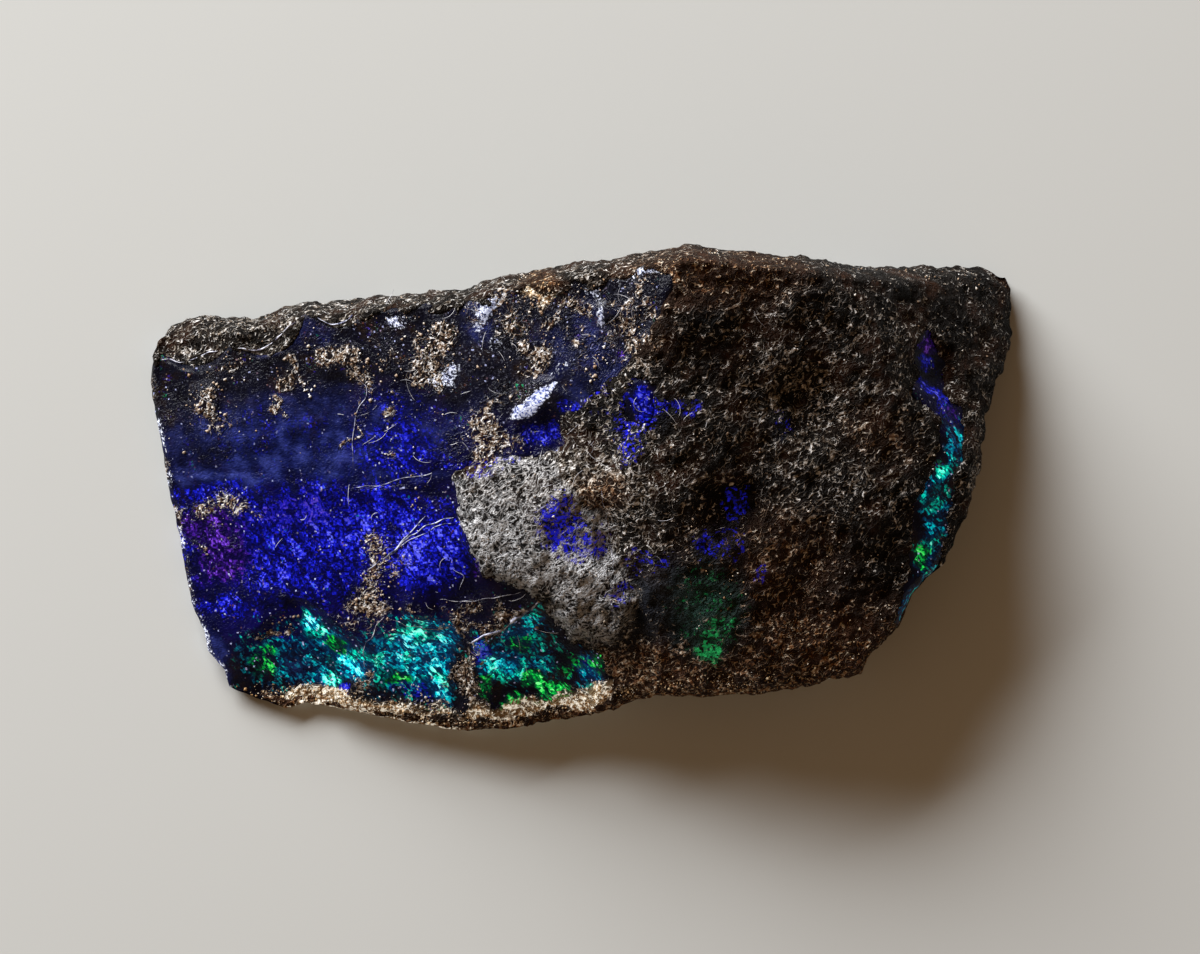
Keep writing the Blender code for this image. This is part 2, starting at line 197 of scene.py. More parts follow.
MURK = [
    (4.9, -5.6, 3.4, 2.1, 0, 0.8), (6.4, -6.3, 1.7, 2.3, 0, 1.0), (4.2, 4.1, 1.5, 0.9, 0, 0.7),
    (7.9, -0.9, 0.8, 1.2, 0, 0.7), (10.1, 3.5, 0.7, 0.8, 0, 0.7), (7.0, -2.8, 1.2, 1.0, 0, 0.6),
    (1.8, 2.9, 0.9, 1.6, 20, 0.7), (-0.8, -1.8, 1.5, 1.3, 0, 0.5),
]
GRIT_HEIGHT = 0.16           # relief of the sandy surface
UNDERSIDE_GRIT = 0.12


def smooth_step(t):
    """Rises from 0 to 1 with level ends."""
    t = np.clip(t, 0.0, 1.0)
    return t * t * (3.0 - 2.0 * t)


def lower_of(a, b, crease):
    """The lower of two heights, rounded over a band where they are nearly equal."""
    share = np.clip(0.5 + 0.5 * (b - a) / crease, 0.0, 1.0)
    return b + (a - b) * share - crease * share * (1.0 - share)


def grain(x, y, z, cell, seed):
    """Smooth random relief from -1 to 1: random values on a cubic lattice, eased between."""
    values = np.random.RandomState(seed).uniform(-1.0, 1.0, (32, 32, 32))
    total = np.zeros(np.broadcast(x, y, z).shape)
    base = [np.floor(c / cell).astype(int) for c in (x, y, z)]
    part = [smooth_step(c / cell - b) for c, b in zip((x, y, z), base)]
    for corner in np.ndindex(2, 2, 2):
        share_x, share_y, share_z = (p if far else 1.0 - p for p, far in zip(part, corner))
        total += share_x * share_y * share_z * values[tuple((b + far) % 32 for b, far in zip(base, corner))]
    return total


def flat_grain(x, y, *layers):
    """Grain over the plan in layers, each with its own amount, cell size and seed."""
    return sum(amount * grain(x, y, 0.0, cell, seed) for amount, cell, seed in layers)


def chipped(x, y, z, cell, seed):
    """Broken relief from about -1 to 1: a tilted plane round each of many scattered centres,
    weighted so steeply by distance that the nearest plane shows, with worn creases between."""
    draw = np.random.RandomState(seed)
    centres = draw.uniform(0.1, 0.9, (16, 16, 16, 3))
    tilts = draw.uniform(-1.4, 1.4, (16, 16, 16, 3))
    place = np.stack(np.broadcast_arrays(x, y, z), axis=-1) / cell
    home = np.floor(place).astype(int)
    total = np.zeros(place.shape[:-1])
    weights = np.full(place.shape[:-1], 1e-9)
    for step in np.ndindex(3, 3, 3):
        box = home + np.array(step) - 1
        key = tuple(np.moveaxis(box % 16, -1, 0))
        away = place - box - centres[key]
        weight = np.exp(-CHIP_SHARPNESS * (away**2).sum(axis=-1))
        total += weight * (away * tilts[key]).sum(axis=-1)
        weights += weight
    return total / weights


def stations(count, crowding):
    """Fractions from 0 to 1 that lie closer together towards both ends."""
    t = np.linspace(0.0, 1.0, count + 1)
    return t - crowding * np.sin(2.0 * np.pi * t) / (2.0 * np.pi)


def along(edge, fractions):
    """Points at the given fractions of a drawn edge's length."""
    points = np.array(edge)
    run = np.append(0.0, np.cumsum(np.hypot(*np.diff(points, axis=0).T)))
    return np.stack([np.interp(fractions * run[-1], run, axis) for axis in points.T], axis=-1)


def patch_between(front, right, back, left, u, v):
    """Coons patch: blends opposite edges and takes the corners away once."""
    u, v = u[:, None, None], v[None, :, None]
    lengthwise = (1 - v) * front[:, None] + v * back[:, None]
    crosswise = (1 - u) * left[None] + u * right[None]
    near, far = (1 - u) * front[0] + u * front[-1], (1 - u) * back[0] + u * back[-1]
    return lengthwise + crosswise - (1 - v) * near - v * far


def plan_of_stone(u, v):
    """The outline, a little nicked, filled with a grid of points."""
    edges = along(FRONT_EDGE, u), along(RIGHT_EDGE, v), along(BACK_EDGE, u), along(LEFT_EDGE, v)
    plan = patch_between(*edges, u, v)
    x, y = plan[..., 0], plan[..., 1]
    nicks = [flat_grain(x, y, (1.0, 1.1, seed), (0.6, 0.45, seed)) for seed in (65, 66)]
    return plan + NICKS * np.stack(nicks, axis=-1)


def edge_at(edge, x):
    """The Y of the front or back edge at each X."""
    return np.interp(x, *np.array(edge).T)


def distance_to(x, y, edge):
    """Distance to a drawn edge: the least of the distances to its straight pieces."""
    nearest = np.full(x.shape, np.inf)
    for (ax, ay), (bx, by) in zip(edge[:-1], edge[1:]):
        run_x, run_y = bx - ax, by - ay
        t = np.clip(((x - ax) * run_x + (y - ay) * run_y) / (run_x**2 + run_y**2), 0.0, 1.0)
        nearest = np.minimum(nearest, np.hypot(x - ax - t * run_x, y - ay - t * run_y))
    return nearest


def depth_inside(x, y, corners):
    """Distance in from the nearest side of a polygon; negative outside it."""
    closed = corners + corners[:1]
    inside = np.zeros(x.shape, bool)
    for (ax, ay), (bx, by) in zip(closed[:-1], closed[1:]):
        slope = (bx - ax) / (by - ay) if by != ay else 0.0
        inside ^= ((ay > y) != (by > y)) & (x < ax + slope * (y - ay))
    nearest = distance_to(x, y, closed)
    return np.where(inside, nearest, -nearest)


def depth_in_oval(x, y, oval):
    """About the distance in from an oval's edge; negative outside it."""
    at_x, at_y, half_x, half_y, turn = oval
    c, s = np.cos(np.radians(turn)), np.sin(np.radians(turn))
    along_it = (c * (x - at_x) + s * (y - at_y)) / half_x
    across = (c * (y - at_y) - s * (x - at_x)) / half_y
    return (1.0 - np.hypot(along_it, across)) * min(half_x, half_y)


def depth_in_edge_chips(x, y):
    """Distance in from the rim of the nearest chip in the back edge; negative outside them."""
    return np.max([radius - np.hypot(x - at_x, y - at_y) for at_x, at_y, radius, _ in EDGE_CHIPS], axis=0)


def wandering(x, y, reach):
    """The points moved about at random, so that what is drawn round them gets a broken edge."""
    shift = [flat_grain(x, y, (1.0, 1.7, seed), (0.5, 0.6, seed + 1)) for seed in (61, 63)]
    return x + reach * shift[0], y + reach * shift[1]


def zone_of(x, y, ovals, reach=0.45):
    """Several soft ovals with wandering edges, each half its amount at its edge; where they
    overlap, the more of them the stronger."""
    x, y = wandering(x, y, reach)
    left_over = np.ones_like(x)
    for *oval, amount in ovals:
        depth = depth_in_oval(x, y, oval) / min(oval[2], oval[3])
        left_over *= 1.0 - min(amount, 0.97) * smooth_step(depth * 0.9 + 0.45)
    return 1.0 - left_over


def zones_of(x, y, **drawn):
    """Several kinds of soft ovals at once, each under its own name."""
    return {name: zone_of(x, y, ovals) for name, ovals in drawn.items()}


def broad_height(x, y):
    """The lowest of the broad planes, with bowls taken out, lumps added and coarse relief."""
    height = np.inf
    for (at_x, at_y, at_z), (rise_x, rise_y) in FACES.values():
        plane = at_z + rise_x * (x - at_x) + rise_y * (y - at_y)
        height = plane if height is np.inf else lower_of(height, plane, CREASE)
    near_x, near_y = wandering(x, y, 0.45)

    def mound(at_x, at_y, radius_x, radius_y):
        """1 in the middle of an oval, less by the square of the distance, 0 at its edge."""
        return 1.0 - ((near_x - at_x) / radius_x) ** 2 - ((near_y - at_y) / radius_y) ** 2

    for at_x, at_y, radius, depth in CHIPS:
        height = height - depth * np.clip(mound(at_x, at_y, radius, radius), 0.0, 1.0) ** CHIP_STEEPNESS
    for at_x, at_y, radius, depth in HOLLOWS:
        height = height - depth * smooth_step(mound(at_x, at_y, radius, radius))
    for *oval, rise in LUMPS:
        height = height + LUMP_SHARE * rise * smooth_step(mound(*oval))
    rock = smooth_step((x + 3.0) / 4.0)
    height += flat_grain(x, y, (0.12 + 0.13 * rock, 3.1, 11), (0.04 + 0.05 * rock, 1.3, 12))
    return height + (0.02 + 0.12 * rock) * chipped(x, y, 0.0, 3.4, 13)


def ledge_height(x, y):
    """How far the ironstone's ledges stand above the seam."""
    return sum(
        rise * smooth_step(depth_inside(x, y, corners) / slope) for rise, slope, corners in LEDGES.values()
    )


def rim_distances(u, v, plan):
    """Distance from each grid point to each of the four edges."""
    across = np.linalg.norm(plan[:, -1] - plan[:, 0], axis=-1)[:, None]
    along_it = np.linalg.norm(plan[-1] - plan[0], axis=-1)[None, :]
    u, v = u[:, None], v[None, :]
    return {
        "front": v * across, "back": (1 - v) * across, "left": u * along_it, "right": (1 - u) * along_it,
    }


def rim_drop(distances, height):
    """How far the surface has broken away near each edge."""
    drops = [
        depth * np.clip(1.0 - distances[name] / width, 0.0, 1.0) ** 1.5
        for name, (width, depth) in RIM_BREAKS.items()
    ]
    return np.max(drops, axis=0) * np.clip(height / FULL_BREAK_HEIGHT, 0.0, 1.0)


def opal_depth(x, y):
    """Distance in from the ragged edge of the nearest showing of opal; negative on the rock."""
    inside = np.max([depth_inside(x, y, field) for field in OPAL_FIELDS], axis=0)
    windows = np.max([depth_in_oval(x, y, window) for window in OPAL_WINDOWS], axis=0)
    ragged = flat_grain(x, y, (0.30, 0.8, 31), (0.22, 0.33, 32))
    shown = np.maximum(inside + 0.5 * ragged, windows + ragged)
    shown = np.minimum(shown, edge_at(BACK_EDGE, x) - y - 1.2 + 1.5 * ragged)
    return np.minimum(shown, -depth_in_edge_chips(x, y) - 0.05)


def around(grid):
    """The border of a grid, counterclockwise seen from above."""
    return np.concatenate([grid[:-1, 0], grid[-1, :-1], grid[:0:-1, -1], grid[0, :0:-1]])


def border_of(grid):
    """Where the border lies in a grid, in the same order."""
    return tuple(around(axis) for axis in np.indices(grid.shape[:2]))


def eased_around(values, reach):
    """A running mean along a closed ring."""
    wrapped = np.concatenate([values[-reach:], values, values[:reach]])
    return np.convolve(wrapped, np.full(2 * reach + 1, 1.0 / (2 * reach + 1)), mode="valid")


def outward(ring):
    """Unit directions in plan, square to the rim and pointing away from the stone."""
    reach = round(0.0185 * len(ring))
    ahead = np.roll(ring, -reach, axis=0)[:, :2] - np.roll(ring, reach, axis=0)[:, :2]
    normal = np.stack([ahead[:, 1], -ahead[:, 0]], axis=-1)
    return normal / np.linalg.norm(normal, axis=-1, keepdims=True)


def cut_by_breaks(ring, rim):
    """Moves points beyond a broken plane back onto it, but never past the rim's own outline."""
    ring = ring.copy()
    for direction, lean, reach in BREAKS:
        angle, slope = np.radians(direction), np.tan(np.radians(lean))
        facing = np.array([np.cos(angle), np.sin(angle)])
        beyond, near = (line[:, :2] @ facing - reach - line[:, 2] * slope for line in (ring, rim))
        ring[:, :2] -= np.maximum(beyond - np.maximum(near, 0.0), 0.0)[:, None] * facing
    return ring


def flank_rings(rim, columns, rows, steps, band):
    """Rings from the rim to the ground: they lean in, step back below the ledge and behind
    the band of opal, are cut by the broken planes and then roughened."""
    away = outward(rim)
    runs = [("front", columns), ("right", rows), ("back", columns), ("left", rows)]
    lean = eased_around(np.concatenate([np.full(count, UNDERCUT[name]) for name, count in runs]),
                        round(0.028 * len(rim)))
    share = np.clip(rim[:, 2] / FULL_LEAN_RIM, 0.15, 1.0)
    ledge = LEDGE_DOWN + flat_grain(rim[:, 0], rim[:, 1], (0.16, 5.0, 23))
    rings = []
    for down in np.arange(1, steps + 1) / steps:
        ring = rim.copy()
        ring[:, 2] = rim[:, 2] * (1.0 - down)
        inward = share * (lean * down**1.4 + LEDGE_DEPTH * smooth_step((down - ledge) / 0.12))
        ring[:, :2] -= away * inward[:, None]
        ring = cut_by_breaks(ring, rim)
        rough = 0.4 * grain(*ring.T, 2.4, 21) + chipped(*ring.T, 3.2, 22)
        rough *= FLANK_ROUGHNESS * smooth_step(down * 3.0)
        ring[:, :2] += away * np.minimum(rough, 0.8 * inward)[:, None]
        hidden = band * (1.0 - smooth_step((down * rim[:, 2] - BAND_HEIGHT) / 0.2))
        ring[:, :2] -= away * (BAND_INSET * hidden)[:, None]
        rings.append(ring)
    return rings


def band_around(columns, rows):
    """Where the seam reaches the flank: all the left edge and the left part of the front."""
    front = 1.0 - smooth_step((np.arange(columns) / columns - BAND_END) / 0.06)
    return eased_around(np.concatenate([front, np.zeros(rows + columns), np.ones(rows)]), 6)


def grid_quads(index):
    """The four corners of each cell of a grid of vertex numbers, facing up."""
    corners = [index[:-1, :-1], index[1:, :-1], index[1:, 1:], index[:-1, 1:]]
    return np.stack(corners, axis=-1).reshape(-1, 4)


def ring_quads(upper, lower):
    """A band of cells between two closed rings, facing out."""
    return np.stack([upper, lower, np.roll(lower, -1), np.roll(upper, -1)], axis=-1)


def stitch_under(fine, coarse):
    """Joins a fine ring to a coarse one inside it, facing down: one fan for each coarse side."""
    count = len(coarse)
    outer = fine[(np.arange(count)[:, None] * UNDER_STEP + np.arange(UNDER_STEP + 1)) % len(fine)]
    after = np.roll(coarse, -1)
    half = UNDER_STEP // 2
    fans = [
        np.stack([outer[:, k + 1], outer[:, k], coarse if k < half else after], axis=-1)
        for k in range(UNDER_STEP)
    ]
    fans.insert(half, np.stack([coarse, after, outer[:, half]], axis=-1))
    return np.concatenate(fans)


def inner_ring(ring, away, inset):
    """Some points of a ring moved inwards, as the border of the coarse underside."""
    return (ring - np.pad(away, ((0, 0), (0, 1))) * inset)[::UNDER_STEP]


def closed_shell(top, rings, underside):
    """Points, quads and triangles of a fine top, the rings down its flank and a coarse
    underside, with the vertex numbers of the rings."""
    top_index = np.arange(top[..., 0].size).reshape(top.shape[:2])
    ring_index = top_index.size + np.arange(len(rings) * len(rings[0])).reshape(len(rings), -1)
    under_index = np.arange(underside[..., 0].size).reshape(underside.shape[:2])
    under_index += top_index.size + ring_index.size
    points = np.concatenate([top.reshape(-1, 3), *rings, underside.reshape(-1, 3)])
    loops = [around(top_index), *ring_index]
    quads = [grid_quads(top_index)] + [ring_quads(*pair) for pair in zip(loops[:-1], loops[1:])]
    quads.append(grid_quads(under_index)[:, ::-1])
    return points, np.concatenate(quads), stitch_under(ring_index[-1], around(under_index)), ring_index


def mesh_of(name, points, quads, triangles=np.zeros((0, 3), int)):
    """A smooth mesh in metres from arrays of millimetre points, quads and triangles."""
    mesh = bpy.data.meshes.new(name)
    mesh.vertices.add(len(points))
    mesh.vertices.foreach_set("co", (points * MM).astype(np.float32).ravel())
    mesh.loops.add(quads.size + triangles.size)
    corners = np.concatenate([quads.ravel(), triangles.ravel()])
    mesh.loops.foreach_set("vertex_index", corners.astype(np.int32))
    mesh.polygons.add(len(quads) + len(triangles))
    starts = np.concatenate([np.arange(len(quads)) * 4, quads.size + np.arange(len(triangles)) * 3])
    mesh.polygons.foreach_set("loop_start", starts.astype(np.int32))
    mesh.update(calc_edges=True)
    mesh.shade_smooth()
    return mesh


def write_values(mesh, **values):
    """Stores one number per vertex under each name, for the material to read."""
    for name, array in values.items():
        mesh.attributes.new(name, "FLOAT", "POINT").data.foreach_set("value", array.astype(np.float32))


def placed(name, data):
    """A new object in the scene."""
    thing = bpy.data.objects.new(name, data)
    bpy.context.collection.objects.link(thing)
    return thing


def piece_of(mesh, material):
    """Puts a mesh in the scene as a piece of the same name that rides with the stone."""
    mesh.materials.append(material)
    piece = placed(mesh.name, mesh)
    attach(piece, "root")
    return piece


def grit(x, y, z):
    """Sandy relief from about -1 to 1: small broken clods with curling ridges on them."""
    curls = [1.0 - 3.0 * np.abs(grain(x, y, z, cell, seed)) for cell, seed in ((0.75, 41), (0.38, 42))]
    return 0.4 * chipped(x, y, z, 0.9, 43) + 0.3 * curls[0] + 0.3 * curls[1]


def rock_height(x, y, distances):
    """Height of the rock's own surface, how fully opal covers it, and height of the whole
    stone.  Ledges stand on the broad faces; under opal the rock lies lower."""
    broad, ledges = broad_height(x, y), ledge_height(x, y)
    drop = rim_drop(distances, broad + ledges)
    under_opal = smooth_step(opal_depth(x, y) / 0.22 + 0.5)
    whole = np.maximum(broad + ledges - drop, LOWEST_RIM)
    rock = np.maximum(broad + ledges * (1.0 - under_opal) - drop, LOWEST_RIM)
    return rock - SKIN_DEPTH * under_opal, under_opal, whole


u, v = stations(COLUMNS, 0.1), stations(ROWS, 0.25)
plan = plan_of_stone(u, v)
x, y = plan[..., 0], plan[..., 1]
rock_level, under_opal, whole_level = rock_height(x, y, rim_distances(u, v, plan))
top = np.stack([x, y, rock_level], axis=-1)
band = band_around(COLUMNS, ROWS)
rim = around(top)
rim[:, :2] -= outward(rim) * (RIM_INSET * band)[:, None]
top[border_of(top)] = rim
rings = flank_rings(rim, COLUMNS, ROWS, FLANK_ROWS, band)

# The stretch and shift that take the drawn stone to the size and place of the solid.
drawn = np.concatenate([np.stack([x, y, whole_level], axis=-1).reshape(-1, 3), rings[-1]])
low, high = (np.array(corner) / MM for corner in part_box("boulder_opal"))
fit_scale = (high - low) / (drawn.max(axis=0) - drawn.min(axis=0))
fit_shift = low - drawn.min(axis=0) * fit_scale

# The underside is a patch between the four runs of the last ring, moved in a little.
ring = inner_ring(rings[-1], outward(rings[-1]), UNDERSIDE_INSET)
ring = np.concatenate([ring, ring[:1]])
ends = np.cumsum([0] + [count // UNDER_STEP for count in (COLUMNS, ROWS, COLUMNS, ROWS)])
front, right, back, left = (ring[start : end + 1] for start, end in zip(ends[:-1], ends[1:]))
coarse = [np.linspace(0.0, 1.0, count // UNDER_STEP + 1) for count in (COLUMNS, ROWS)]
underside = patch_between(front, right, back[::-1], left[::-1], *coarse)
points, quads, triangles, ring_index = closed_shell(top, rings, underside)
rock_mesh = mesh_of("ironstone", points, quads, triangles)

# Grit stands out along the normals, except where opal covers the rock and underneath.
px, py, pz = points.T
on_top = np.arange(len(points)) < x.size
below = np.arange(len(points)) > ring_index[-1, -1]
relief = grit(px, py, pz)
bare = np.ones(len(points))
bare[on_top] = 1.0 - under_opal.ravel()
depth_down = (rim[:, 2] - np.array(rings)[..., 2]).ravel()
band_shows = np.tile(band, len(rings)) * (1.0 - smooth_step((depth_down - BAND_HEIGHT) / 0.3))
bare[ring_index.ravel()] -= band_shows
normals = np.zeros(3 * len(points), np.float32)
rock_mesh.vertex_normals.foreach_get("vector", normals)
moved = points + normals.reshape(-1, 3) * (GRIT_HEIGHT * bare * relief * ~below)[:, None]
moved[below, 2] += UNDERSIDE_GRIT * np.maximum(relief[below], 0.0)
moved[ring_index[-1], 2] = 0.0
moved[:, 2] = np.maximum(moved[:, 2], 0.0)
moved = moved * fit_scale + fit_shift
rock_mesh.vertices.foreach_set("co", (moved * MM).astype(np.float32).ravel())
rock_mesh.update()

slab_x, slab_y = wandering(px, py, 0.7)
slab = smooth_step(depth_inside(slab_x, slab_y, LEDGES["middle slab"][2]) / 0.6 + 0.4) * on_top
high_on_slab = smooth_step((slab_y + 1.6) / 2.2 + 0.5)
murk = zone_of(px, py, MURK) * on_top
density = 0.50 + slab * (0.46 - 0.22 * high_on_slab) - 0.62 * murk
density += zone_of(px, py, SANDY_ROCK) - zone_of(px, py, SMOOTH_ROCK)
edge_chip = smooth_step(depth_in_edge_chips(px, py) / 0.3 + 0.5)
front_rim = smooth_step(1.0 - (py - edge_at(FRONT_EDGE, px)) / 1.1)
warm = np.maximum(zone_of(px, py, WARM_ROCK), front_rim) * (1.0 - slab)
write_values(
    rock_mesh, grit=np.maximum.reduce([density, 0.60 * edge_chip, 0.8 * front_rim]), warm=warm, murk=murk,
    slab=slab * (0.66 - 0.38 * high_on_slab) * (1.0 - murk),
    blue=zone_of(px, py, BLUE_TRACES) * on_top, green=zone_of(px, py, GREEN_TRACES) * on_top,
)


class Pattern:
    """A number or a colour given by a shader node.  Plain signs between patterns and numbers
    make Math nodes."""

    def __init__(self, socket):
        self.socket, self.tree = socket, socket.id_data


def fill(socket, value):
    """Links a pattern to a socket, or sets the socket's own number, colour or place."""
    if isinstance(value, Pattern):
        value.tree.links.new(value.socket, socket)
    else:
        socket.default_value = (*value, 1.0) if socket.type == "RGBA" else value


def put(near, kind, sockets, output=0, **settings):
    """Adds a shader node beside a pattern, sets its properties, fills its sockets and gives
    one of its outputs."""
    node = near.tree.nodes.new("ShaderNode" + kind)
    for name, value in settings.items():
        setattr(node, name, value)
    for name, value in sockets.items():
        fill(node.inputs[name], value)
    return Pattern(node.outputs[output])


def sum_of(operation, *values):
    """A Math node on patterns and numbers."""
    near = next(value for value in values if isinstance(value, Pattern))
    return put(near, "Math", dict(enumerate(values)), operation=operation)


for sign, operation in (("add", "ADD"), ("sub", "SUBTRACT"), ("mul", "MULTIPLY"), ("truediv", "DIVIDE")):
    setattr(Pattern, f"__{sign}__", lambda a, b, operation=operation: sum_of(operation, a, b))
    setattr(Pattern, f"__r{sign}__", lambda a, b, operation=operation: sum_of(operation, b, a))


def held(pattern):
    """The same sum, held between 0 and 1."""
    pattern.socket.node.use_clamp = True
    return pattern


def higher(first, *others):
    """The highest of several patterns."""
    for other in others:
        first = sum_of("MAXIMUM", first, other)
    return first


def blend(share, first, second):
    """A colour mix: the first colour at 0, the second at 1."""
    return put(share, "Mix", {0: share, 6: first, 7: second}, 2, data_type="RGBA")


def ramp(value, *stops):
    """A ramp through stops, each a place and a colour or a plain number."""
    result = put(value, "ValToRGB", {"Fac": value}, "Color")
    elements = result.socket.node.color_ramp.elements
    while len(elements) < len(stops):
        elements.new(0.5)
    for element, (place, colour) in zip(elements, stops):
        element.position = place
        element.color = (*colour, 1.0) if isinstance(colour, tuple) else (colour, colour, colour, 1.0)
    return result


def noise(at, scale, detail=3.0, roughness=0.55, output="Fac"):
    """Fractal noise from 0 to 1; scale is in waves per millimetre."""
    sockets = {"Vector": at, "Scale": scale, "Detail": detail, "Roughness": roughness}
    return put(at, "TexNoise", sockets, output)


def stored(at, name):
    """A number stored on the vertices."""
    return put(at, "Attribute", {}, "Fac", attribute_name=name)


def scaled(place, size):
    """A place or a shift times a number."""
    return put(place, "VectorMath", {0: place, 3: size}, operation="SCALE")


def new_material(name):
    """An empty material, its shader, and the object's own place in millimetres."""
    material = bpy.data.materials.new(name)
    material.cycles.emission_sampling = "NONE"
    material.use_nodes = True
    nodes = material.node_tree.nodes
    place = Pattern(nodes.new("ShaderNodeTexCoord").outputs["Object"])
    return material, nodes["Principled BSDF"], scaled(place, 1.0 / MM)


def finish(shader, looks):
    """Fills a shader's named sockets."""
    for name, value in looks.items():
        fill(shader.inputs[name], value)


def bumped(height, reach):
    """Relief for the light alone, as high as the reach in millimetres."""
    return put(height, "Bump", {"Height": height, "Strength": 1.0, "Distance": reach * MM}, "Normal")


def bent_place(at, scale, reach):
    """The place pushed about by smooth noise, so that patterns laid on it curl."""
    shift = scaled(noise(at, scale, 1.0, 0.5, "Color"), reach)
    return put(at, "VectorMath", {0: at, 1: shift}, operation="ADD")


def turned_place(at, turn, stretch):
    """The place turned about Z, with patterns laid on it made longer in that direction."""
    sockets = {"Vector": at, "Rotation": (0.0, 0.0, turn), "Scale": (stretch, 1.0, 1.0)}
    return put(at, "Mapping", sockets, vector_type="TEXTURE")


def curls_of(bent, turn, scale, stretch):
    """Thin curling ridges, 0 to 1, longer along one direction: they stand where smooth noise
    passes through its middle value."""
    smooth = noise(turned_place(bent, turn, stretch), scale, 1.5, 0.6)
    return held(sum_of("ABSOLUTE", smooth - 0.5) * -12.0 + 1.0)


def sparkle_of(place, scale):
    """A random value from 0 to 1 in each of many very small square cells."""
    cell = put(place, "VectorMath", {0: scaled(place, scale)}, operation="FLOOR")
    return put(place, "TexWhiteNoise", {"Vector": cell}, "Value")


def grit_of(at, density):
    """Sandy grit, 0 in the hollows to 1 on the ridges: long and short curling ridges, fewer of
    them where the density is low."""
    bent = bent_place(at, 1.7, 0.7)
    height = higher(curls_of(bent, 0.72, 2.7, 2.3), curls_of(bent, 1.7, 3.4, 1.4) * 0.75)
    limit = 1.62 - density * 0.62 - noise(at, 1.6, 2.0, 0.7) * 1.35
    return held((height - limit) / 0.25), height


def ironstone_material():
    """Near-black umber rock under sandy grit whose pale curls are partly its own colour and
    partly painted glints: grey on the slab, tan on the field at the right, ochre where the crust
    is left.  On the slab, painted light on the ridges and painted shade in the clefts lie over
    grey stone.  Opal shows in the hollows between the grains as blue and green flecks or as
    grey murk, the flecks with a painted glow."""
    material, shader, at = new_material("ironstone")
    warm, slab, blue, green = (stored(at, name) for name in ("warm", "slab", "blue", "green"))
    share, height = grit_of(at, stored(at, "grit"))
    mottle, fine = noise(at, 0.55), noise(at, 7.0, 2.0, 0.7)
    umber = ramp(mottle, (0.32, (0.003, 0.0026, 0.0024)), (0.52, (0.009, 0.006, 0.004)),
                 (0.66, (0.036, 0.015, 0.007)))
    umber = blend(held(warm * 0.5), umber, (0.060, 0.024, 0.010))
    murk = ramp(mottle, (0.38, (0.005, 0.005, 0.012)), (0.58, (0.026, 0.032, 0.044)))
    murk = blend(held(green * 5.0), murk, (0.020, 0.068, 0.048))
    tint = noise(at, 4.5, 2.0, 0.6)
    # Pale curls: partly the grit's own colour, partly painted glints where light would catch the grains.
    pale_grit_and_glints = ramp(tint, (0.36, (0.09, 0.065, 0.045)), (0.50, (0.32, 0.28, 0.23)), (0.62, (0.95, 0.93, 0.90)))
    ochre = ramp(tint, (0.38, (0.17, 0.060, 0.018)), (0.50, (0.45, 0.23, 0.09)), (0.62, (0.90, 0.76, 0.54)))
    # On the slab the curls turn near white: painted glints.
    tone = blend(slab, blend(warm, pale_grit_and_glints, ochre), (0.90, 0.93, 0.97))
    colour = blend(share, blend(stored(at, "murk"), umber, murk), tone)
    # On the slab: grey stone with painted light on the ridges and painted shade in the clefts, following its
    # bump.
    ridges = noise(turned_place(at, 0.75, 1.8), 1.9, 4.0, 0.75)
    slab_painted_light_and_shade = ramp(fine * 0.4 + ridges * 0.6 + height * 0.16 - 0.06, (0.435, (0.016, 0.015, 0.016)),
                     (0.50, (0.44, 0.45, 0.46)), (0.555, (0.97, 0.985, 1.0)))
    colour = blend(slab, colour, slab_painted_light_and_shade)

    cells = (sparkle_of(bent_place(at, 2.5, 0.5), 6.0) + fine + noise(at, 1.9, 1.0)) * 0.5
    # Painted glow: the blue and green flecks give off light of their own.
    painted_fleck_glow = (0.0, 0.0, 0.0)
    for strength, dark, lit in ((blue, (0.0, 0.0, 0.03), (0.02, 0.022, 0.85)),
                                (green, (0.0, 0.02, 0.012), (0.02, 0.42, 0.11))):
        shown = held((strength * 0.56 + cells - 1.02) / 0.3) * held(strength * 8.0) * (1.0 - share * 0.6)
        hue = ramp(cells, (0.60, dark), (0.98, lit))
        colour, painted_fleck_glow = blend(shown, colour, hue), blend(shown, painted_fleck_glow, hue)
    finish(shader, {
        "Base Color": colour, "Emission Color": painted_fleck_glow, "Emission Strength": 0.35,
        "Roughness": ramp(share, (0.0, 0.62), (1.0, 0.45)), "Specular IOR Level": 0.1,
        "Normal": bumped(height + fine + ridges * slab * 14.0, 0.2),
    })
    return material


ironstone = piece_of(rock_mesh, ironstone_material())
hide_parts("boulder_opal")

# ---------------------------------------------------------------------------------------
# The seam of opal.
# A thin sheet of glassy opal under the rock's skin, bare over the left of the stone and
# seen in small windows elsewhere.  Its dark body throws blue, violet, cyan and green.

SEAM_COLUMNS = 412
SEAM_ROWS = 204
SEAM_FLANK_ROWS = 6
SEAM_SINK = 0.05
SEAM_THICKNESS = 1.1
SEAM_LEAN = 0.35             # its edge leans in by this much over its thickness
SEAM_INSET = 0.3             # its coarse underside begins this far inside the edge
SEAM_LOWEST = 0.15           # the seam never comes closer to the ground than this
TUCK_IN = 0.9                # where no seam shows at the rim it is tucked in behind the rock
TUCK_DOWN = 0.7
STEP_AT = 0.7                # a low step runs across the main field at about this Y

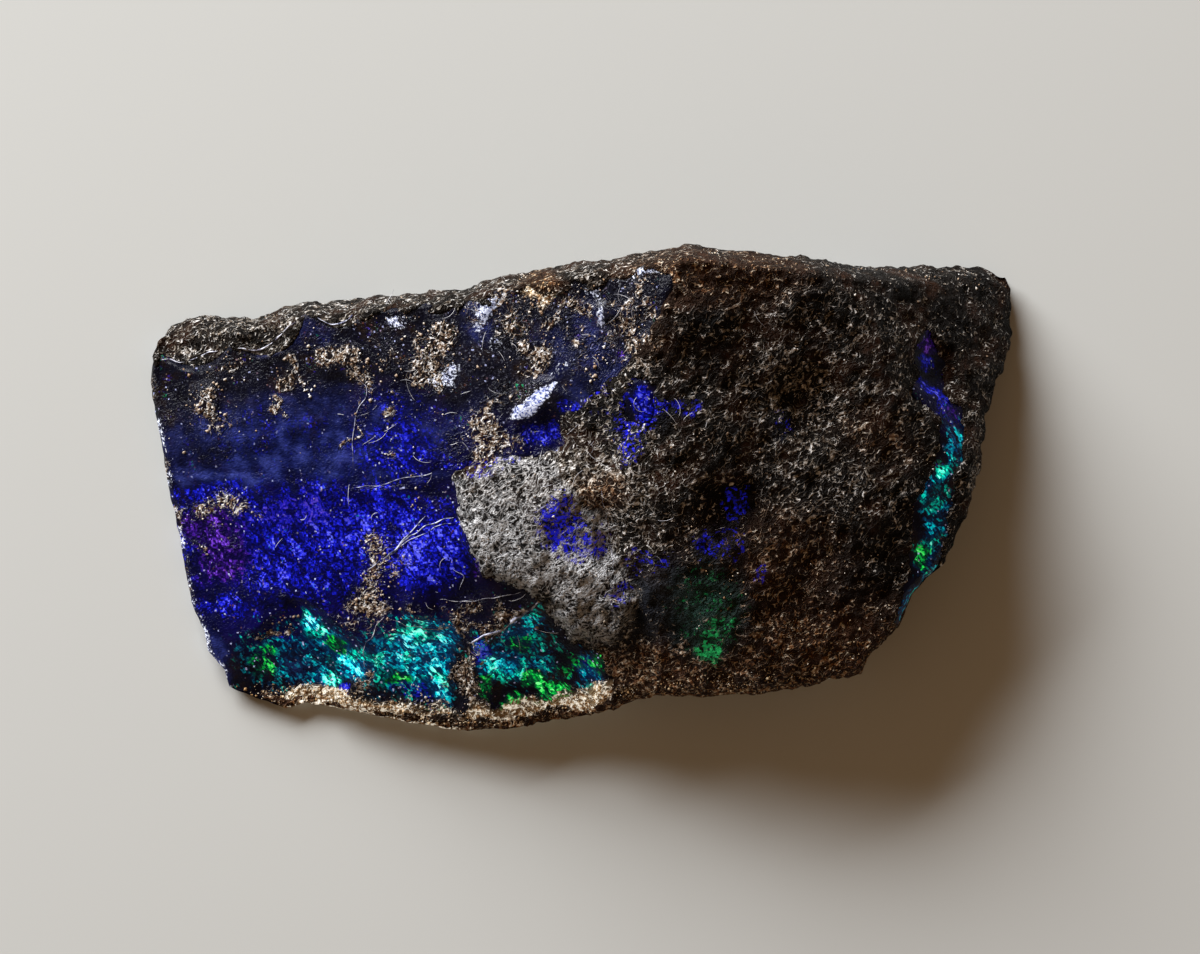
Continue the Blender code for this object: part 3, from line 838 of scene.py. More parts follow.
# Sandy crust left standing on the opal: centre, half sizes, turn.
CRUSTS = [
    (-10.5, -5.2, 1.1, 2.1, -15), (-11.2, -3.4, 0.7, 0.5, 0), (-11.1, -10.3, 0.7, 1.2, 0),
    (-6.0, -9.3, 0.7, 2.1, 0), (-19.7, 4.6, 1.3, 1.2, 0), (-18.9, -1.4, 1.3, 0.9, -20),
    (-12.3, 7.3, 1.2, 0.8, 0), (-11.3, 5.9, 0.7, 1.4, 0), (-7.9, 7.0, 1.5, 1.2, 0),
    (-4.9, 10.1, 0.6, 0.9, -30), (-2.1, 10.1, 1.1, 0.9, 0), (-3.7, 9.5, 0.9, 0.7, 0),
    (-0.1, 9.7, 0.6, 0.9, 0), (-2.5, 7.1, 1.1, 1.5, 0), (3.0, 7.9, 0.8, 1.0, 0),
    (-4.7, 2.5, 2.2, 1.2, 0), (-4.6, -6.4, 1.5, 0.5, 0), (-6.6, -6.7, 0.7, 0.6, 0),
    (-16.0, -7.1, 0.9, 0.4, 0), (-15.0, 5.9, 1.1, 0.4, 0), (-14.1, 5.2, 0.4, 0.3, 0),
    (-16.1, 4.5, 0.5, 0.3, 0), (-18.2, 7.1, 0.6, 0.4, 0), (-12.0, 3.7, 0.3, 0.6, 0),
    (-8.4, -6.6, 0.5, 0.7, 0), (3.9, 10.0, 0.7, 0.5, 0), (2.3, 10.2, 0.5, 0.6, 0),
    (-20.6, -1.9, 0.5, 0.9, 0), (-17.0, -1.6, 0.5, 0.3, 0), (-9.2, 4.7, 0.4, 0.3, 0),
    (-10.1, 1.9, 0.3, 0.3, 0), (-8.3, 1.2, 0.5, 0.3, 0),
]

# Where each colour plays: centre, half length, half width, turn, strength.
DEEP = [
    (-14.0, -2.6, 9.5, 4.6, 0, 0.97), (-15.0, -6.0, 8.0, 2.4, 0, 0.9),
    (-9.4, 2.6, 3.4, 2.6, 0, 0.9), (-3.2, 2.6, 2.6, 1.4, 0, 0.8), (18.4, 4.6, 1.4, 0.9, -40, 0.8),
    (3.1, 4.6, 0.8, 0.9, 0, 0.7),
]
BLUE = [
    (-14.0, -2.6, 8.4, 3.1, 0, 0.5), (-9.4, 2.6, 2.2, 2.2, 0, 0.5),
    (-12.0, -1.9, 5.0, 1.7, 0, 0.35), (-7.8, -3.3, 1.9, 1.5, 0, 0.9),
    (-15.5, -4.4, 3.4, 1.0, 0, 0.3), (-16.1, 3.0, 4.2, 1.3, 0, 0.2),
    (-18.6, -6.1, 1.5, 0.6, 0, 0.5), (-2.0, 2.8, 0.8, 0.6, 0, 1.0), (-0.3, 4.4, 0.7, 0.4, 30, 0.7),
    (3.1, 4.6, 0.6, 0.7, 0, 0.9), (-5.8, 1.5, 1.2, 0.4, 0, 0.7), (-19.5, 0.1, 2.0, 0.6, 0, 0.4),
    (18.0, 6.6, 0.5, 0.5, 0, 0.75), (18.3, 4.9, 1.4, 0.4, -40, 0.8), (-5.3, -8.3, 0.6, 0.5, 0, 1.0),
    (-8.6, -10.2, 0.9, 0.7, 0, 1.1), (-12.4, -10.7, 0.4, 0.4, 0, 1.0),
    (-9.9, -8.6, 0.8, 0.7, 0, 0.8), (-5.2, -7.9, 0.4, 0.5, 0, 0.8), (-15.5, -7.6, 0.5, 0.4, 0, 0.7),
    (0.4, -9.2, 0.7, 0.7, 0, 0.5),
]
VIOLET = [
    (-18.9, -3.2, 1.7, 1.9, 0, 0.5), (-19.6, -1.9, 1.3, 0.8, 0, 0.4), (18.0, 7.6, 0.7, 0.5, 0, 0.7),
    (-14.5, -1.2, 3.0, 1.0, 0, 0.2), (2.0, 6.9, 0.7, 0.4, 0, 0.3), (-0.5, 8.2, 0.5, 0.5, 0, 0.25),
    (-5.0, -4.0, 0.6, 0.6, 0, 0.3), (19.2, 4.3, 0.5, 0.4, 0, 0.4),
]
TEAL = [
    (-14.4, -8.8, 3.4, 2.2, 0, 0.42), (-13.8, -7.1, 0.7, 0.5, 0, 1.0),
    (-12.9, -7.9, 1.9, 0.6, -50, 0.85), (-12.0, -9.0, 1.4, 0.6, -50, 1.05),
    (-13.4, -10.1, 0.9, 0.6, 0, 1.0), (-9.2, -8.9, 2.4, 2.0, 0, 0.6),
    (-8.4, -8.6, 1.7, 1.3, -50, 1.15), (-7.4, -9.9, 0.5, 1.2, 0, 0.9),
    (-7.2, -7.6, 0.9, 1.1, 0, 0.6), (-3.2, -8.6, 2.6, 1.8, -20, 0.45),
    (-3.6, -9.5, 0.6, 0.6, 0, 1.1), (-4.7, -9.1, 0.5, 0.8, 0, 0.9),
    (-2.6, -7.0, 1.4, 0.9, 30, 0.35), (0.5, -9.6, 0.9, 1.4, 0, 0.5),
    (18.2, -0.6, 0.9, 2.2, 10, 0.42), (19.1, 2.4, 0.7, 1.9, 0, 0.4),
    (17.8, -3.6, 0.9, 1.9, 0, 0.42), (16.8, -6.1, 0.5, 1.4, 0, 0.4), (17.7, -0.2, 0.4, 0.5, 0, 0.7),
    (18.6, 0.9, 0.4, 0.6, 0, 0.6),
]
GREEN = [
    (-16.5, -9.0, 0.7, 1.1, -20, 0.38), (-12.9, -7.9, 0.6, 0.5, 0, 0.6),
    (-2.6, -9.9, 0.7, 0.6, 0, 1.0), (-1.6, -10.6, 0.9, 0.6, 0, 0.9),
    (-3.6, -11.3, 0.6, 0.6, 0, 0.95), (-3.4, -8.0, 1.0, 0.6, 0, 0.45),
    (1.1, -8.9, 0.7, 0.8, 0, 0.5), (17.6, -3.4, 0.5, 0.8, 0, 0.6), (-9.4, -10.1, 0.5, 0.4, 0, 0.5),
    (-5.0, -10.1, 0.4, 0.6, 0, 0.6), (-0.6, -9.0, 1.0, 0.8, 0, 0.35),
]
# Partly milky haze in the glass, partly a painted sheen of reflected light.
HAZE_AND_SHEEN = [
    (-16.1, 2.2, 5.2, 1.9, 0, 0.7), (-13.0, 3.6, 6.5, 1.6, 0, 0.4), (-15.1, 7.8, 2.2, 0.7, 0, 0.4),
    (-5.2, 9.1, 1.1, 1.3, 0, 0.6), (-14.6, -9.8, 1.1, 0.7, 0, 0.4),
    (-19.3, -8.9, 0.8, 1.8, 10, 0.8), (0.5, 7.0, 2.4, 2.4, 0, 0.35),
    (-18.5, 0.9, 3.4, 0.4, -3, 0.6), (-13.5, 0.9, 2.6, 0.5, 0, 0.6), (-9.5, 0.7, 2.6, 0.35, 5, 0.5),
]
# Where grey dust and fine scratches dull the glass, and where it is cleanest and shines.
DUSTY = [
    (-14.0, 7.2, 7.5, 2.0, 0, 0.36), (-3.0, 8.0, 6.0, 3.6, 0, 0.8), (-19.5, 4.5, 2.5, 2.5, 0, 0.5),
    (2.6, 9.4, 2.0, 2.6, 0, 0.8), (-5.0, 3.5, 3.5, 2.0, 0, 0.6), (-4.0, -6.2, 3.0, 1.0, 0, 0.5),
    (2.5, -6.0, 3.0, 2.5, 0, 0.7),
]
SHINING = [
    (-2.1, 4.6, 1.4, 0.6, 35, 1.0), (-4.9, 9.2, 1.2, 0.9, 40, 1.0), (1.2, 9.1, 0.6, 0.9, 0, 0.9),
    (3.6, 11.4, 1.6, 0.5, 10, 0.9), (-19.3, -9.0, 0.5, 1.8, 10, 0.9),
    (-12.6, 8.7, 0.8, 0.4, 0, 0.8),
]
# Painted highlights: blue-white patches where broken lips of the glass catch the light.
PAINTED_HIGHLIGHTS = [
    (-2.9, 4.1, 0.6, 0.42, 15, 1.0), (-2.4, 4.4, 0.7, 0.42, 40, 1.0),
    (-1.8, 4.9, 0.6, 0.34, 45, 1.0), (-1.3, 5.3, 0.5, 0.18, 50, 0.9),
    (-0.9, 6.4, 0.8, 0.25, 45, 0.55), (-4.9, 8.9, 1.2, 0.5, 60, 0.62),
    (-5.3, 9.6, 0.8, 0.6, 0, 0.5), (-4.2, 9.7, 0.6, 0.5, 0, 0.5), (1.1, 9.1, 0.3, 0.8, 0, 0.75),
    (1.2, 8.4, 0.4, 0.6, -20, 0.5), (0.8, 10.3, 0.8, 0.5, 40, 0.5),
    (4.1, 11.3, 1.5, 0.35, 10, 0.65), (2.6, 10.9, 1.0, 0.5, 0, 0.45), (-9.4, 8.8, 0.6, 0.3, 0, 0.7),
    (-7.1, 6.1, 1.2, 0.5, 20, 0.55), (-6.4, 5.9, 0.5, 0.8, 0, 0.45), (-12.3, 8.8, 0.6, 0.2, 0, 0.8),
    (-4.3, 7.6, 0.8, 0.5, 30, 0.5), (-19.3, -9.5, 0.14, 1.0, 20, 0.7),
    (-19.0, -0.4, 1.0, 0.5, 0, 0.45),
]
OCHRE = [(-2.1, 10.4, 1.2, 0.9, 0, 1.0)]     # where the crust is ochre, besides the front rim


def seam_height(x, y, distances):
    """Height of the glassy surface: the broad faces with slow waves and one low step, lifted
    with the ledges at the windows and sunk away under the bare rock and the edge chips."""
    waves = flat_grain(x, y, (0.05, 1.7, 51), (0.02, 0.7, 52))
    step_line = STEP_AT + 0.35 * np.sin(0.45 * (x + 22.0))
    step_rise = 0.07 + flat_grain(x, y, (0.05, 2.6, 53))
    waves += step_rise * smooth_step((step_line - y) / 0.35) * smooth_step((-6.0 - x) / 2.0)
    waves -= 0.9 * smooth_step(depth_in_edge_chips(x, y) / 0.12)
    near_opal = smooth_step(opal_depth(x, y) / 0.3 + 1.6)
    level = broad_height(x, y) + 0.95 * ledge_height(x, y) * near_opal - 0.6 * (1.0 - near_opal)
    level += waves - SEAM_SINK
    return np.maximum(level - rim_drop(distances, level), LOWEST_RIM - SEAM_SINK)


u, v = stations(SEAM_COLUMNS, 0.05), stations(SEAM_ROWS, 0.1)
plan = plan_of_stone(u, v)
x, y = plan[..., 0], plan[..., 1]
distances = rim_distances(u, v, plan)
seam_top = np.stack([x, y, seam_height(x, y, distances)], axis=-1)
border = border_of(x)
rim = seam_top[border]
away = outward(rim)
tuck = 1.0 - band_around(SEAM_COLUMNS, SEAM_ROWS)
rim[:, :2] -= away * (TUCK_IN * tuck)[:, None]
rim[:, 2] -= TUCK_DOWN * tuck
seam_top[border] = rim
seam_top[..., 2] -= 0.6 * smooth_step(1.0 - np.minimum(distances["right"] / 0.35, distances["back"] / 0.9))
seam_top[..., 2] = np.maximum(seam_top[..., 2], SEAM_LOWEST)
rim = seam_top[border]
rings = []
for down in np.arange(1, SEAM_FLANK_ROWS + 1) / SEAM_FLANK_ROWS:
    ring = rim.copy()
    ring[:, 2] -= np.minimum(SEAM_THICKNESS, 0.75 * rim[:, 2]) * down
    ring[:, :2] -= away * SEAM_LEAN * down**2
    rings.append(ring)
underside = seam_top[::UNDER_STEP, ::UNDER_STEP].copy()
underside[..., 2] -= SEAM_THICKNESS
underside[border_of(underside)] = inner_ring(ring, away, SEAM_INSET)
underside[..., 2] = np.maximum(underside[..., 2], SEAM_LOWEST)
points, quads, triangles, _ = closed_shell(seam_top, rings, underside)
seam_mesh = mesh_of("opal_seam", points * fit_scale + fit_shift, quads, triangles)

px, py, _ = points.T
dusty = zone_of(px, py, DUSTY)
clumps = smooth_step(0.55 + flat_grain(px, py, (1.5, 1.3, 55), (0.6, 0.5, 56)))
from_front = py - edge_at(FRONT_EDGE, px) + flat_grain(px, py, (0.5, 0.9, 54))
front_rim = smooth_step(1.6 - from_front / 1.1) * smooth_step((px + 17.0) / 2.0)
left_rim = smooth_step(1.3 - distance_to(px, py, LEFT_EDGE) / 0.4)
# Along the left rim: partly the rim's own whitish glass, partly painted highlight.
left_rim_glass_and_highlight = 0.62 * left_rim * smooth_step(0.75 + flat_grain(px, py, (1.5, 0.7, 57)))
flank = (np.arange(len(points)) >= x.size) * smooth_step((px + 14.0) / 3.0)
crust = np.maximum.reduce([
    zone_of(px, py, [(*oval, 0.85) for oval in CRUSTS], 1.2), front_rim, 0.62 * dusty * clumps,
    0.6 * left_rim * smooth_step((py + 9.0) / 3.0) * clumps, flank * (0.55 + 0.4 * clumps),
])
write_values(
    seam_mesh, dust=dusty, crust=crust, frost=np.maximum(zone_of(px, py, PAINTED_HIGHLIGHTS, 0.25), left_rim_glass_and_highlight),
    warm=np.maximum(front_rim, zone_of(px, py, OCHRE)), shine=zone_of(px, py, SHINING),
    **zones_of(px, py, deep=DEEP, blue=BLUE, violet=VIOLET, teal=TEAL, green=GREEN, haze=HAZE_AND_SHEEN),
)


def opal_material():
    """Glassy opal: a near-black or deep blue body with flecks of colour in it, each brighter
    where its own random tone and the strength of its colour are high.  Haze with a painted
    sheen, dust, broken lips with painted highlights and sandy crust lie over it in places.
    The flecks, the ochre crust and the highlights also carry a painted glow."""
    material, shader, at = new_material("opal")
    blue, violet, teal, green, dust, warm, crust = (
        stored(at, name) for name in ("blue", "violet", "teal", "green", "dust", "warm", "crust")
    )
    bent = bent_place(at, 1.6, 0.35)
    leaning = turned_place(bent, -0.9, 1.9)
    cloud, fine = noise(at, 0.9, 3.0, 0.6), noise(at, 7.0, 2.0, 0.65)
    cells = put(at, "TexVoronoi", {"Vector": leaning, "Scale": 3.6}, "Color")
    patch = put(at, "SeparateColor", {"Color": cells})
    tone = sparkle_of(bent, 9.0) * 0.40 + patch * 0.30 + cloud * 0.54 + fine * 0.35 - 0.08
    bright = sparkle_of(leaning, 10.0) * 0.36 + patch * 0.38 + cloud * 0.44 + fine * 0.35 - 0.09

    def cover(strength, pattern):
        """How fully a colour shows: none where it has no strength, more as it grows."""
        return held((strength * 0.95 + pattern * 0.6 - 0.62) / 0.25)

    def shade(strength, pattern, *stops):
        """The colour of each fleck, from its own tone and its colour's strength."""
        return ramp(pattern + strength * 0.36 - 0.26, *stops)

    body = ramp(cloud, (0.35, (0.0015, 0.0015, 0.004)), (0.52, (0.003, 0.0035, 0.010)),
                (0.68, (0.010, 0.006, 0.005)))
    navy = ramp(cloud, (0.40, (0.0008, 0.0014, 0.022)), (0.62, (0.0025, 0.0022, 0.062)))
    play = blend(stored(at, "deep"), body, navy)
    play = blend(cover(blue, tone), play, shade(
        blue, tone, (0.53, (0.0006, 0.0010, 0.045)), (0.69, (0.0016, 0.0026, 0.13)),
        (0.80, (0.004, 0.007, 0.38)), (0.90, (0.012, 0.018, 0.80)), (1.0, (0.12, 0.14, 1.0))))
    play = blend(cover(violet, tone), play, shade(
        violet, tone, (0.55, (0.003, 0.001, 0.030)), (0.72, (0.012, 0.003, 0.09)),
        (0.86, (0.055, 0.009, 0.30)), (1.0, (0.26, 0.08, 0.90))))
    cyan = shade(teal, bright, (0.52, (0.0, 0.012, 0.040)), (0.68, (0.0, 0.040, 0.12)),
                 (0.80, (0.0, 0.26, 0.37)), (0.90, (0.0, 0.70, 0.76)), (1.0, (0.24, 1.0, 1.0)))
    sea = shade(teal, bright, (0.52, (0.0, 0.012, 0.025)), (0.68, (0.0, 0.060, 0.080)),
                (0.80, (0.0, 0.31, 0.23)), (0.90, (0.0, 0.80, 0.53)), (1.0, (0.26, 1.0, 0.84)))
    drift = ramp(noise(at, 0.9, 1.0), (0.48, 0.0), (0.60, 1.0))
    play = blend(cover(teal, bright), play, blend(drift, cyan, sea))
    play = blend(cover(green, bright), play, shade(
        green, bright, (0.50, (0.0, 0.012, 0.008)), (0.66, (0.0, 0.060, 0.018)),
        (0.78, (0.0, 0.27, 0.040)), (0.89, (0.01, 0.70, 0.07)), (1.0, (0.20, 1.0, 0.30))))
    speck = sparkle_of(bent, 12.0)
    speck_colour = ramp(speck, (0.990, (0.14, 0.045, 0.025)), (0.994, (0.36, 0.40, 0.66)))
    play = blend(held(speck * 100.0 + cloud * 5.0 - 101.2), play, speck_colour)
    # A pale blue-grey veil: partly milky haze, partly painted sheen.
    fog = noise(at, 0.75, 3.0, 0.6)
    haze_and_sheen_colour = ramp(fog, (0.32, (0.002, 0.004, 0.030)), (0.50, (0.008, 0.015, 0.115)),
                (0.68, (0.040, 0.058, 0.31)))
    haze_and_sheen_cover = held(stored(at, "haze") * ramp(fog, (0.30, 0.3), (0.60, 1.0)))
    colour = blend(haze_and_sheen_cover, play, haze_and_sheen_colour)

    share, height = grit_of(at, crust * 1.9 - 0.62)
    dulled = held(higher(fine * 9.0 + dust * 1.6 - 6.4, height * dust * 0.10))
    colour = blend(dulled * 0.5, colour, (0.16, 0.17, 0.23))
    tint = noise(at, 4.5, 2.0, 0.65)
    sand = ramp(tint, (0.38, (0.085, 0.040, 0.022)), (0.5, (0.36, 0.28, 0.20)), (0.60, (0.95, 0.94, 0.93)))
    ochre = ramp(tint, (0.36, (0.40, 0.19, 0.070)), (0.48, (0.84, 0.62, 0.36)), (0.58, (1.0, 0.98, 0.90)))
    soil = blend(warm, (0.008, 0.005, 0.004), (0.34, 0.24, 0.13))
    ground = held(crust * 2.0 - 1.0)
    colour = blend(share, blend(ground, colour, soil), blend(warm, sand, ochre))
    # Painted highlight: blue-white where the broken lips and the left rim catch the light.
    frost = held((stored(at, "frost") * 1.4 + fine * 1.9 + patch * 0.35 - 1.95) / 0.4)
    colour = blend(frost, colour, ramp(fine, (0.40, (0.16, 0.22, 0.62)), (0.56, (0.85, 0.90, 1.0))))

    bare = held(1.0 - higher(share, ground, frost, haze_and_sheen_cover))
    # Painted glow: the colour flecks, the ochre crust and the highlights give off light of their own,
    # standing in for stronger light on them.
    painted_glow = blend(bare * (held(higher(teal, green)) + 0.15), (0.0, 0.0, 0.0), play)
    painted_glow = blend(share * warm, painted_glow, ramp(tint, (0.46, (0.0, 0.0, 0.0)), (0.58, (0.52, 0.47, 0.38))))
    painted_glow = blend(frost, painted_glow, ramp(fine, (0.42, (0.0, 0.01, 0.08)), (0.56, (0.30, 0.34, 0.48))))
    relief = bumped(height * crust * 1.6 + fine * 0.7, 0.10)
    finish(shader, {
        "Base Color": colour, "Emission Color": painted_glow, "Emission Strength": 1.0,
        "Roughness": ramp(bare, (0.0, 0.6), (1.0, 0.3)), "Specular IOR Level": 0.05,
        "Coat Weight": held(bare * (stored(at, "shine") * 0.8 + 0.16)), "Coat Roughness": 0.08,
        "Normal": relief, "Coat Normal": relief,
    })
    return material


piece_of(seam_mesh, opal_material())

# ---------------------------------------------------------------------------------------
# The lips and cracks of the seam.
# Thin curled edges where layers of the glassy opal have flaked off, and healed cracks.
# They are part of the seam and stand a little above it; they show as pale lines, partly by the light they
# catch and partly by painted highlight in their colour.

LIP_STEPS = 64
LIP_WANDER = 0.10            # how far a lip strays from its drawn line
# Tone 0 is blue-white, partly clear glass and partly painted highlight.
LIPS = [   # half width, height, tone from clear blue at 0 to tan at 1, the points along it
    (0.035, 0.04, 0.1, [(-11.65, 6.2), (-10.9, 5.1), (-11.65, 4.0), (-11.8, 2.6), (-11.7, 1.1)]),
    (0.050, 0.07, 0.0, [(-11.0, -4.2), (-10.2, -3.4), (-8.2, -1.9), (-7.4, -1.5), (-6.3, -1.3)]),
    (0.040, 0.06, 0.0, [(-10.6, -4.1), (-9.3, -2.6), (-8.3, -1.7), (-7.9, -1.2)]),
    (0.030, 0.05, 0.0, [(-10.0, -3.5), (-8.6, -2.3), (-7.4, -1.8), (-6.6, -1.7)]),
    (0.030, 0.04, 0.4, [(-7.3, -5.6), (-6.0, -5.7), (-4.2, -5.4), (-2.9, -5.1)]),
    (0.025, 0.04, 0.2, [(-6.5, -3.9), (-6.0, -4.4), (-6.2, -5.1)]),
    (0.120, 0.12, 0.1, [(-5.8, -7.9), (-5.2, -7.5), (-4.2, -7.3), (-3.4, -6.6), (-2.6, -6.0), (-1.9, -5.5)]),
    (0.045, 0.05, 0.2, [(-11.6, 0.3), (-10.4, 0.3), (-9.0, 0.7), (-7.6, 1.0)]),
    (0.055, 0.06, 0.3, [(-22.2, 7.0), (-20.9, 6.8), (-20.0, 6.9), (-18.9, 7.5)]),
    (0.060, 0.06, 0.4, [(-18.4, 7.7), (-17.4, 7.3), (-16.3, 7.5), (-15.6, 8.1), (-14.5, 8.9), (-13.9, 9.4)]),
    (0.055, 0.06, 0.1, [(-13.7, 9.2), (-12.9, 8.6), (-12.0, 8.9), (-11.5, 9.6)]),
    (0.045, 0.04, 0.2, [(-22.2, 7.2), (-22.2, 6.2), (-22.1, 5.0)]),
    (0.045, 0.04, 0.2, [(-21.9, 3.4), (-21.7, 2.2), (-21.4, 1.1)]),
    (0.030, 0.04, 0.3, [(-11.2, -9.3), (-11.3, -8.2), (-10.6, -7.0), (-10.2, -6.5)]),
    (0.025, 0.03, 0.4, [(-10.0, -6.6), (-9.3, -6.9), (-8.2, -7.1), (-7.2, -7.2)]),
    (0.025, 0.04, 0.3, [(1.1, 0.6), (1.3, -1.4), (1.7, -4.0)]),
]
SURFACE_EDGES = {"front": FRONT_EDGE, "right": RIGHT_EDGE, "back": BACK_EDGE, "left": LEFT_EDGE}


def skin_height(x, y):
    """Height of the stone's skin over any point: the higher of the rock and the seam."""
    distances = {name: distance_to(x, y, edge) for name, edge in SURFACE_EDGES.items()}
    return np.maximum(rock_height(x, y, distances)[0], seam_height(x, y, distances))


def smooth_path(corners, steps, wander, seed):
    """A drawn line resampled evenly, rounded by a running mean and made to wander."""
    padded = np.pad(along(corners, np.linspace(0.0, 1.0, steps)), ((5, 5), (0, 0)), mode="edge")
    line = np.stack([np.convolve(axis, np.ones(11) / 11.0, "valid") for axis in padded.T])
    shift = [flat_grain(*line, (wander, 0.5, one)) for one in (seed, seed + 1)]
    return (line + shift).T


def tubes(paths, half_widths, half_heights):
    """Closed four-sided tubes round a batch of paths: at each point, the centre plus cos(a) of
    the half width sideways and sin(a) of the half height upwards.  Gives points and quads."""
    count, steps = paths.shape[:2]
    ahead = np.gradient(paths, axis=1)
    side = np.stack([-ahead[..., 1], ahead[..., 0], np.zeros((count, steps))], axis=-1)
    side /= np.linalg.norm(side, axis=-1, keepdims=True)
    turn = np.arange(4) * np.pi / 2.0
    across = np.cos(turn)[:, None] * (half_widths[..., None] * side)[:, :, None]
    upward = np.sin(turn)[:, None] * half_heights[..., None, None] * np.array([0.0, 0.0, 1.0])
    index = np.arange(count * steps * 4).reshape(count, steps, 4)
    start, end = index[:, :-1], index[:, 1:]
    sides = np.stack([start, np.roll(start, -1, axis=2), np.roll(end, -1, axis=2), end], axis=-1)
    caps = np.concatenate([index[:, 0, ::-1], index[:, -1]])
    return (paths[:, :, None] + across + upward).reshape(-1, 3), np.concatenate([sides.reshape(-1, 4), caps])


def lip_material():
    """Blue-white where a lip is thin, partly clear glass and partly painted highlight; tan and dull where
    crust clings to it.
    """
    material, shader, at = new_material("opal_lip")
    tan, cloud = stored(at, "tan"), noise(at, 2.5)
    clear_glass_and_highlight = ramp(cloud, (0.42, (0.04, 0.05, 0.14)), (0.60, (0.75, 0.80, 1.0)))
    dull = ramp(cloud, (0.40, (0.12, 0.08, 0.05)), (0.60, (0.78, 0.74, 0.68)))
    finish(shader, {
        "Base Color": blend(tan, clear_glass_and_highlight, dull), "Roughness": ramp(tan, (0.0, 0.25), (1.0, 0.6)),
        "Normal": bumped(noise(at, 6.0), 0.05),
    })
    return material


lines = np.stack([
    smooth_path(corners, LIP_STEPS, LIP_WANDER, 70 + 2 * k) for k, (*_, corners) in enumerate(LIPS)
])
half_width, height, tan = np.array([lip[:3] for lip in LIPS]).T
line_x, line_y = lines[..., 0], lines[..., 1]
taper = np.sqrt(np.sin(np.linspace(0.03, np.pi - 0.03, LIP_STEPS)))
taper = taper * (0.75 + flat_grain(line_x, line_y, (0.45, 0.35, 90)))
centres = np.stack([line_x, line_y, skin_height(line_x, line_y)], axis=-1)
lip_points, lip_quads = tubes(centres, half_width[:, None] * taper, height[:, None] * taper)
lip_mesh = mesh_of("opal_lips", lip_points * fit_scale + fit_shift, lip_quads)
write_values(lip_mesh, tan=np.repeat(tan, LIP_STEPS * 4))
piece_of(lip_mesh, lip_material())

# ---------------------------------------------------------------------------------------
# The loose grains.
# Grains of sand, ochre and white clay that still cling to the crust, the rims and the rock.
# Each is an eight-sided crumb with uneven corners, turned at random and half sunk in.

GRAIN_TRIES = 60000
GRAIN_RADIUS = 0.036
CLUMP_GRAIN = 1.7            # the grains of a clump are this many times as big
LEAST_CHANCE = 0.005         # a few grains lie anywhere
LOWEST_GRAIN = 0.05
FROM_OUTLINE = 0.15          # no grain lies closer to the outline than this
# Clumps: X, Y, spread, how many, tint from brown at 0 to white at 1.
CLUMPS = [
    (-18.4, 7.4, 0.18, 5, 0.45), (-14.1, 7.6, 0.16, 5, 0.95), (-14.1, 5.3, 0.22, 8, 0.95),
    (1.2, 7.3, 0.1, 3, 1.0), (1.3, 6.7, 0.1, 3, 0.95), (0.9, 6.9, 0.16, 5, 0.5),
    (0.6, 5.9, 0.2, 8, 0.6), (-9.0, -10.7, 0.35, 16, 0.95), (-8.3, -11.0, 0.3, 10, 0.8),
    (-17.4, -10.7, 0.4, 12, 0.35), (-15.5, -6.8, 0.35, 10, 0.4), (-8.4, -0.6, 0.22, 8, 0.6),
    (-19.6, -3.2, 0.12, 3, 0.4), (-5.9, -9.2, 0.5, 24, 0.45), (-5.6, -10.3, 0.4, 16, 0.7),
    (-2.2, -7.0, 0.2, 5, 0.5), (-13.0, -10.9, 0.4, 14, 0.85), (-2.1, 10.2, 0.6, 40, 0.6),
    (-7.6, 8.0, 0.7, 30, 0.7), (-11.0, 6.4, 0.7, 30, 0.55), (-19.6, 4.6, 0.9, 36, 0.6),
    (-10.6, -5.4, 0.8, 40, 0.5),
]


def grain_weight(x, y):
    """How likely a grain is to lie at each point."""
    crust = zone_of(x, y, [(*oval, 0.92) for oval in CRUSTS], 0.8)
    front = smooth_step(1.5 - distance_to(x, y, FRONT_EDGE) / 0.9) * smooth_step((x + 18.0) / 2.0)
    back = smooth_step(1.4 - distance_to(x, y, BACK_EDGE) / 1.2)
    bare = smooth_step(0.5 - opal_depth(x, y) / 0.5)
    patchy = smooth_step(0.5 + flat_grain(x, y, (2.0, 1.6, 95)))
    dusty = 0.09 * zone_of(x, y, DUSTY) * patchy
    return np.max([0.25 * crust, dusty, 0.9 * front, 0.3 * back, 0.07 * bare * patchy], axis=0)


def grain_material():
    """Brown, tan, cream and white grains, dull."""
    material, shader, at = new_material("grains")
    tint = stored(at, "tint")
    plain = ramp(tint, (0.0, (0.06, 0.032, 0.018)), (0.45, (0.36, 0.24, 0.15)),
                 (0.75, (0.66, 0.58, 0.48)), (1.0, (0.88, 0.87, 0.85)))
    ochre = ramp(tint, (0.0, (0.16, 0.07, 0.02)), (0.45, (0.58, 0.34, 0.13)),
                 (0.75, (0.84, 0.66, 0.38)), (1.0, (0.95, 0.90, 0.78)))
    finish(shader, {
        "Base Color": blend(stored(at, "warm"), plain, ochre), "Roughness": 0.7,
        "Specular IOR Level": 0.3, "Normal": bumped(noise(at, 12.0, 2.0), 0.03),
    })
    return material


